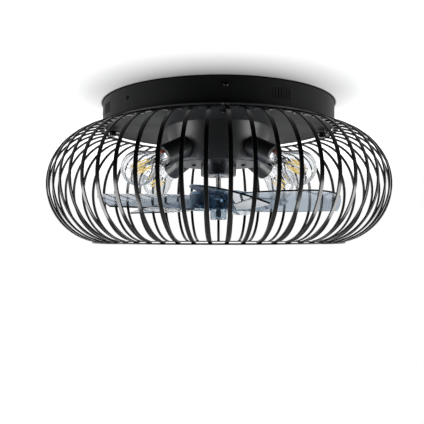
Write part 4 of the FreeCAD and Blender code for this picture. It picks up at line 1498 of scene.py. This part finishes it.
@dataclass
class Stage:
    """The pale ceiling and floor, the soft light and the camera at the photograph's angle."""

    ceiling_height: float = 0.0004
    floor_height: float = -1.3
    ceiling_size: float = 1.0
    floor_size: float = 6.0
    floor_tone: float = 0.5
    floor_roughness: float = 0.9
    far_start: float = 1.5
    far_end: float = 3.0
    ceiling_tone: float = 0.95
    shade_tone: float = 0.40
    lift: float = 0.62
    shade_start: float = 0.085
    shade_end: float = 0.30
    lift_end: float = 0.235
    covered_reach: float = 0.1738
    rim_shade_end: float = 0.1765
    shade_middle: Place = (0.0, -0.09, 0.0)
    behind_start: float = -0.35
    behind_end: float = 0.85
    front_level: float = 0.01
    above_end: float = 0.5
    above_level: float = 0.5
    lamp_aside: float = 1.15
    lamp_ahead: float = -0.30
    lamp_height: float = -0.70
    lamp_size: float = 0.9
    lamp_power: float = 19.0
    lamp_aim: Place = (0.0, 0.0, -0.1)
    camera_distance: float = 0.825
    camera_height: float = -0.1953
    camera_pitch: float = 2.575
    camera_yaw: float = 0.68
    sensor: float = 36.0
    lens: float = 46.26

    def build(self) -> None:
        """Build the stage, the lamps, the world and the camera."""
        bpy.context.scene.view_settings.view_transform = "Standard"
        self.ceiling()
        self.floor()
        self.world()
        self.lamp("lamp_left", -self.lamp_aside)
        self.lamp("lamp_right", self.lamp_aside)
        self.camera()

    def sheet(self, name: str, half: float, height: float, finish: str) -> tuple[bpy.types.Object, Tree]:
        """Make a flat sheet of the stage, with a material to fill.

        Args:
            name: the sheet's name.
            half: half its side.
            height: its height. A sheet above the floor faces down.
            finish: the material's name.

        Returns:
            The sheet's object and its material's tree.
        """
        mesh = bmesh.new()
        bmesh.ops.create_grid(mesh, x_segments=1, y_segments=1, size=half)
        placed(mesh, Matrix.Translation((0.0, 0.0, height)))
        if height > self.floor_height:
            bmesh.ops.reverse_faces(mesh, faces=mesh.faces)
        sheet = as_object(mesh, name)
        material = bpy.data.materials.new(finish)
        material.use_nodes = True
        sheet.data.materials.append(material)
        return sheet, Tree(material.node_tree)

    def ceiling(self) -> None:
        """Make the pale ceiling: painted shadow round the canopy, painted shade inside it, clear from above
        so the fan's top shows.
        """
        sheet, tree = self.sheet("stage_ceiling", self.ceiling_size, self.ceiling_height, "pale_ceiling")
        sheet.visible_shadow = False
        sheet.visible_diffuse = False
        sheet.visible_glossy = False
        place = tree.add("TexCoord").outputs["Object"]
        spread = tree.add("VectorMath", {0: place, 1: self.shade_middle}, operation="DISTANCE")
        distance = spread.outputs["Value"]
        reach = tree.add("VectorMath", {0: place}, operation="LENGTH").outputs["Value"]
        # Painted shade: dark inside the canopy's reach, with a thin painted contact shadow just past its rim.
        outside = tree.ramp(reach, self.covered_reach, self.rim_shade_end)
        # Painted shadow: a soft halo darkens the colour towards shade_middle, in front of the canopy.
        shaded = tree.ramp(distance, self.shade_start, self.shade_end, self.shade_tone, self.ceiling_tone)
        # The white lift by emission fades out in the same painted shadow.
        lifted = tree.ramp(distance, self.shade_start, self.lift_end, 0.0, self.lift)
        surface = tree.add("BsdfPrincipled", {
            "Base Color": tree.reckon("MULTIPLY", shaded, outside),
            "Emission Color": tree.reckon("MULTIPLY", lifted, outside),
            "Emission Strength": 1.0,
            "Roughness": 1.0,
            "Specular IOR Level": 0.0,
        }).outputs["BSDF"]
        clear = tree.add("BsdfTransparent").outputs["BSDF"]
        above = tree.add("NewGeometry").outputs["Backfacing"]
        tree.end(tree.add("MixShader", {0: above, 1: surface, 2: clear}).outputs["Shader"])

    def floor(self) -> None:
        """Make the pale floor, white to the camera, through glass and, far behind, to gloss."""
        _, tree = self.sheet("stage_floor", self.floor_size, self.floor_height, "pale_floor")
        tone = (self.floor_tone, self.floor_tone, self.floor_tone, 1.0)
        surface = tree.add("BsdfPrincipled", {"Base Color": tone, "Roughness": self.floor_roughness})
        white = tree.add("Emission", {"Strength": 1.0}).outputs["Emission"]
        way = tree.add("SeparateXYZ", {"Vector": tree.add("TexCoord").outputs["Object"]}).outputs
        far = tree.ramp(way["Y"], self.far_start, self.far_end)
        gloss = tree.reckon("MULTIPLY", tree.add("LightPath").outputs["Is Glossy Ray"], far)
        seen = tree.reckon("MAXIMUM", self.seen_rays(tree), gloss)
        tree.end(tree.add("MixShader", {0: seen, 1: surface.outputs["BSDF"], 2: white}).outputs["Shader"])

    @staticmethod
    def seen_rays(tree: Tree) -> Socket:
        """Give a value that is 1 for rays from the camera and through glass."""
        path = tree.add("LightPath").outputs
        return tree.reckon("MAXIMUM", path["Is Camera Ray"], path["Is Transmission Ray"])

    def world(self) -> None:
        """Make the world: white to the camera, through glass and behind the fan, and dim in front."""
        world = bpy.data.worlds.new("white_studio")
        bpy.context.scene.world = world
        world.use_nodes = True
        tree = Tree(world.node_tree)
        way = tree.add("SeparateXYZ", {"Vector": tree.add("TexCoord").outputs["Generated"]}).outputs
        behind = tree.ramp(way["Y"], self.behind_start, self.behind_end, self.front_level, 1.0,
                           interpolation_type="SMOOTHSTEP")
        above = tree.ramp(way["Z"], 0.0, self.above_end, 1.0, self.above_level,
                          interpolation_type="SMOOTHSTEP")
        dimmed = tree.reckon("MULTIPLY", behind, above)
        level = tree.add("Mix", {"Factor": self.seen_rays(tree), "A": dimmed, "B": 1.0}).outputs["Result"]
        back = tree.add("Background", {"Color": WHITE, "Strength": level}).outputs["Background"]
        tree.add("OutputWorld", {"Surface": back})

    def lamp(self, name: str, aside: float) -> None:
        """Hang a soft lamp that looks at the fan.

        Args:
            name: the lamp's name.
            aside: its place along X.
        """
        light = bpy.data.lights.new(name, "AREA")
        light.shape = "SQUARE"
        light.size = self.lamp_size
        light.energy = self.lamp_power
        lamp = bpy.data.objects.new(name, light)
        lamp.location = (aside, self.lamp_ahead, self.lamp_height)
        aim = Vector(self.lamp_aim) - lamp.location
        lamp.rotation_euler = aim.to_track_quat("-Z", "Y").to_euler()
        bpy.context.scene.collection.objects.link(lamp)

    def camera(self) -> None:
        """Place the camera."""
        view = bpy.data.cameras.new("photo_camera")
        view.sensor_width = self.sensor
        view.lens = self.lens
        camera = bpy.data.objects.new("photo_camera", view)
        camera.location = (0.0, -self.camera_distance, self.camera_height)
        camera.rotation_euler = (RIGHT_ANGLE + radians(self.camera_pitch), 0.0, radians(self.camera_yaw))
        bpy.context.scene.collection.objects.link(camera)
        bpy.context.scene.camera = camera


FIRST_LAMP_TURN = 45.0
LAMP_PITCH = 90.0


def main() -> None:
    """Build every sub-assembly, then the stage."""
    logging.basicConfig(level=logging.INFO, format="%(name)s: %(message)s")
    parts = [CeilingMount(), Canopy(), DrumAndMotor(), Rotor()]
    parts += [Lamp(number, FIRST_LAMP_TURN + LAMP_PITCH * (number - 1)) for number in (1, 2, 3, 4)]
    parts.append(Cage())
    for part in parts:
        LOG.info("building %s", type(part).__name__)
        part.build()
    Stage().build()


if __name__ == "__main__":
    main()
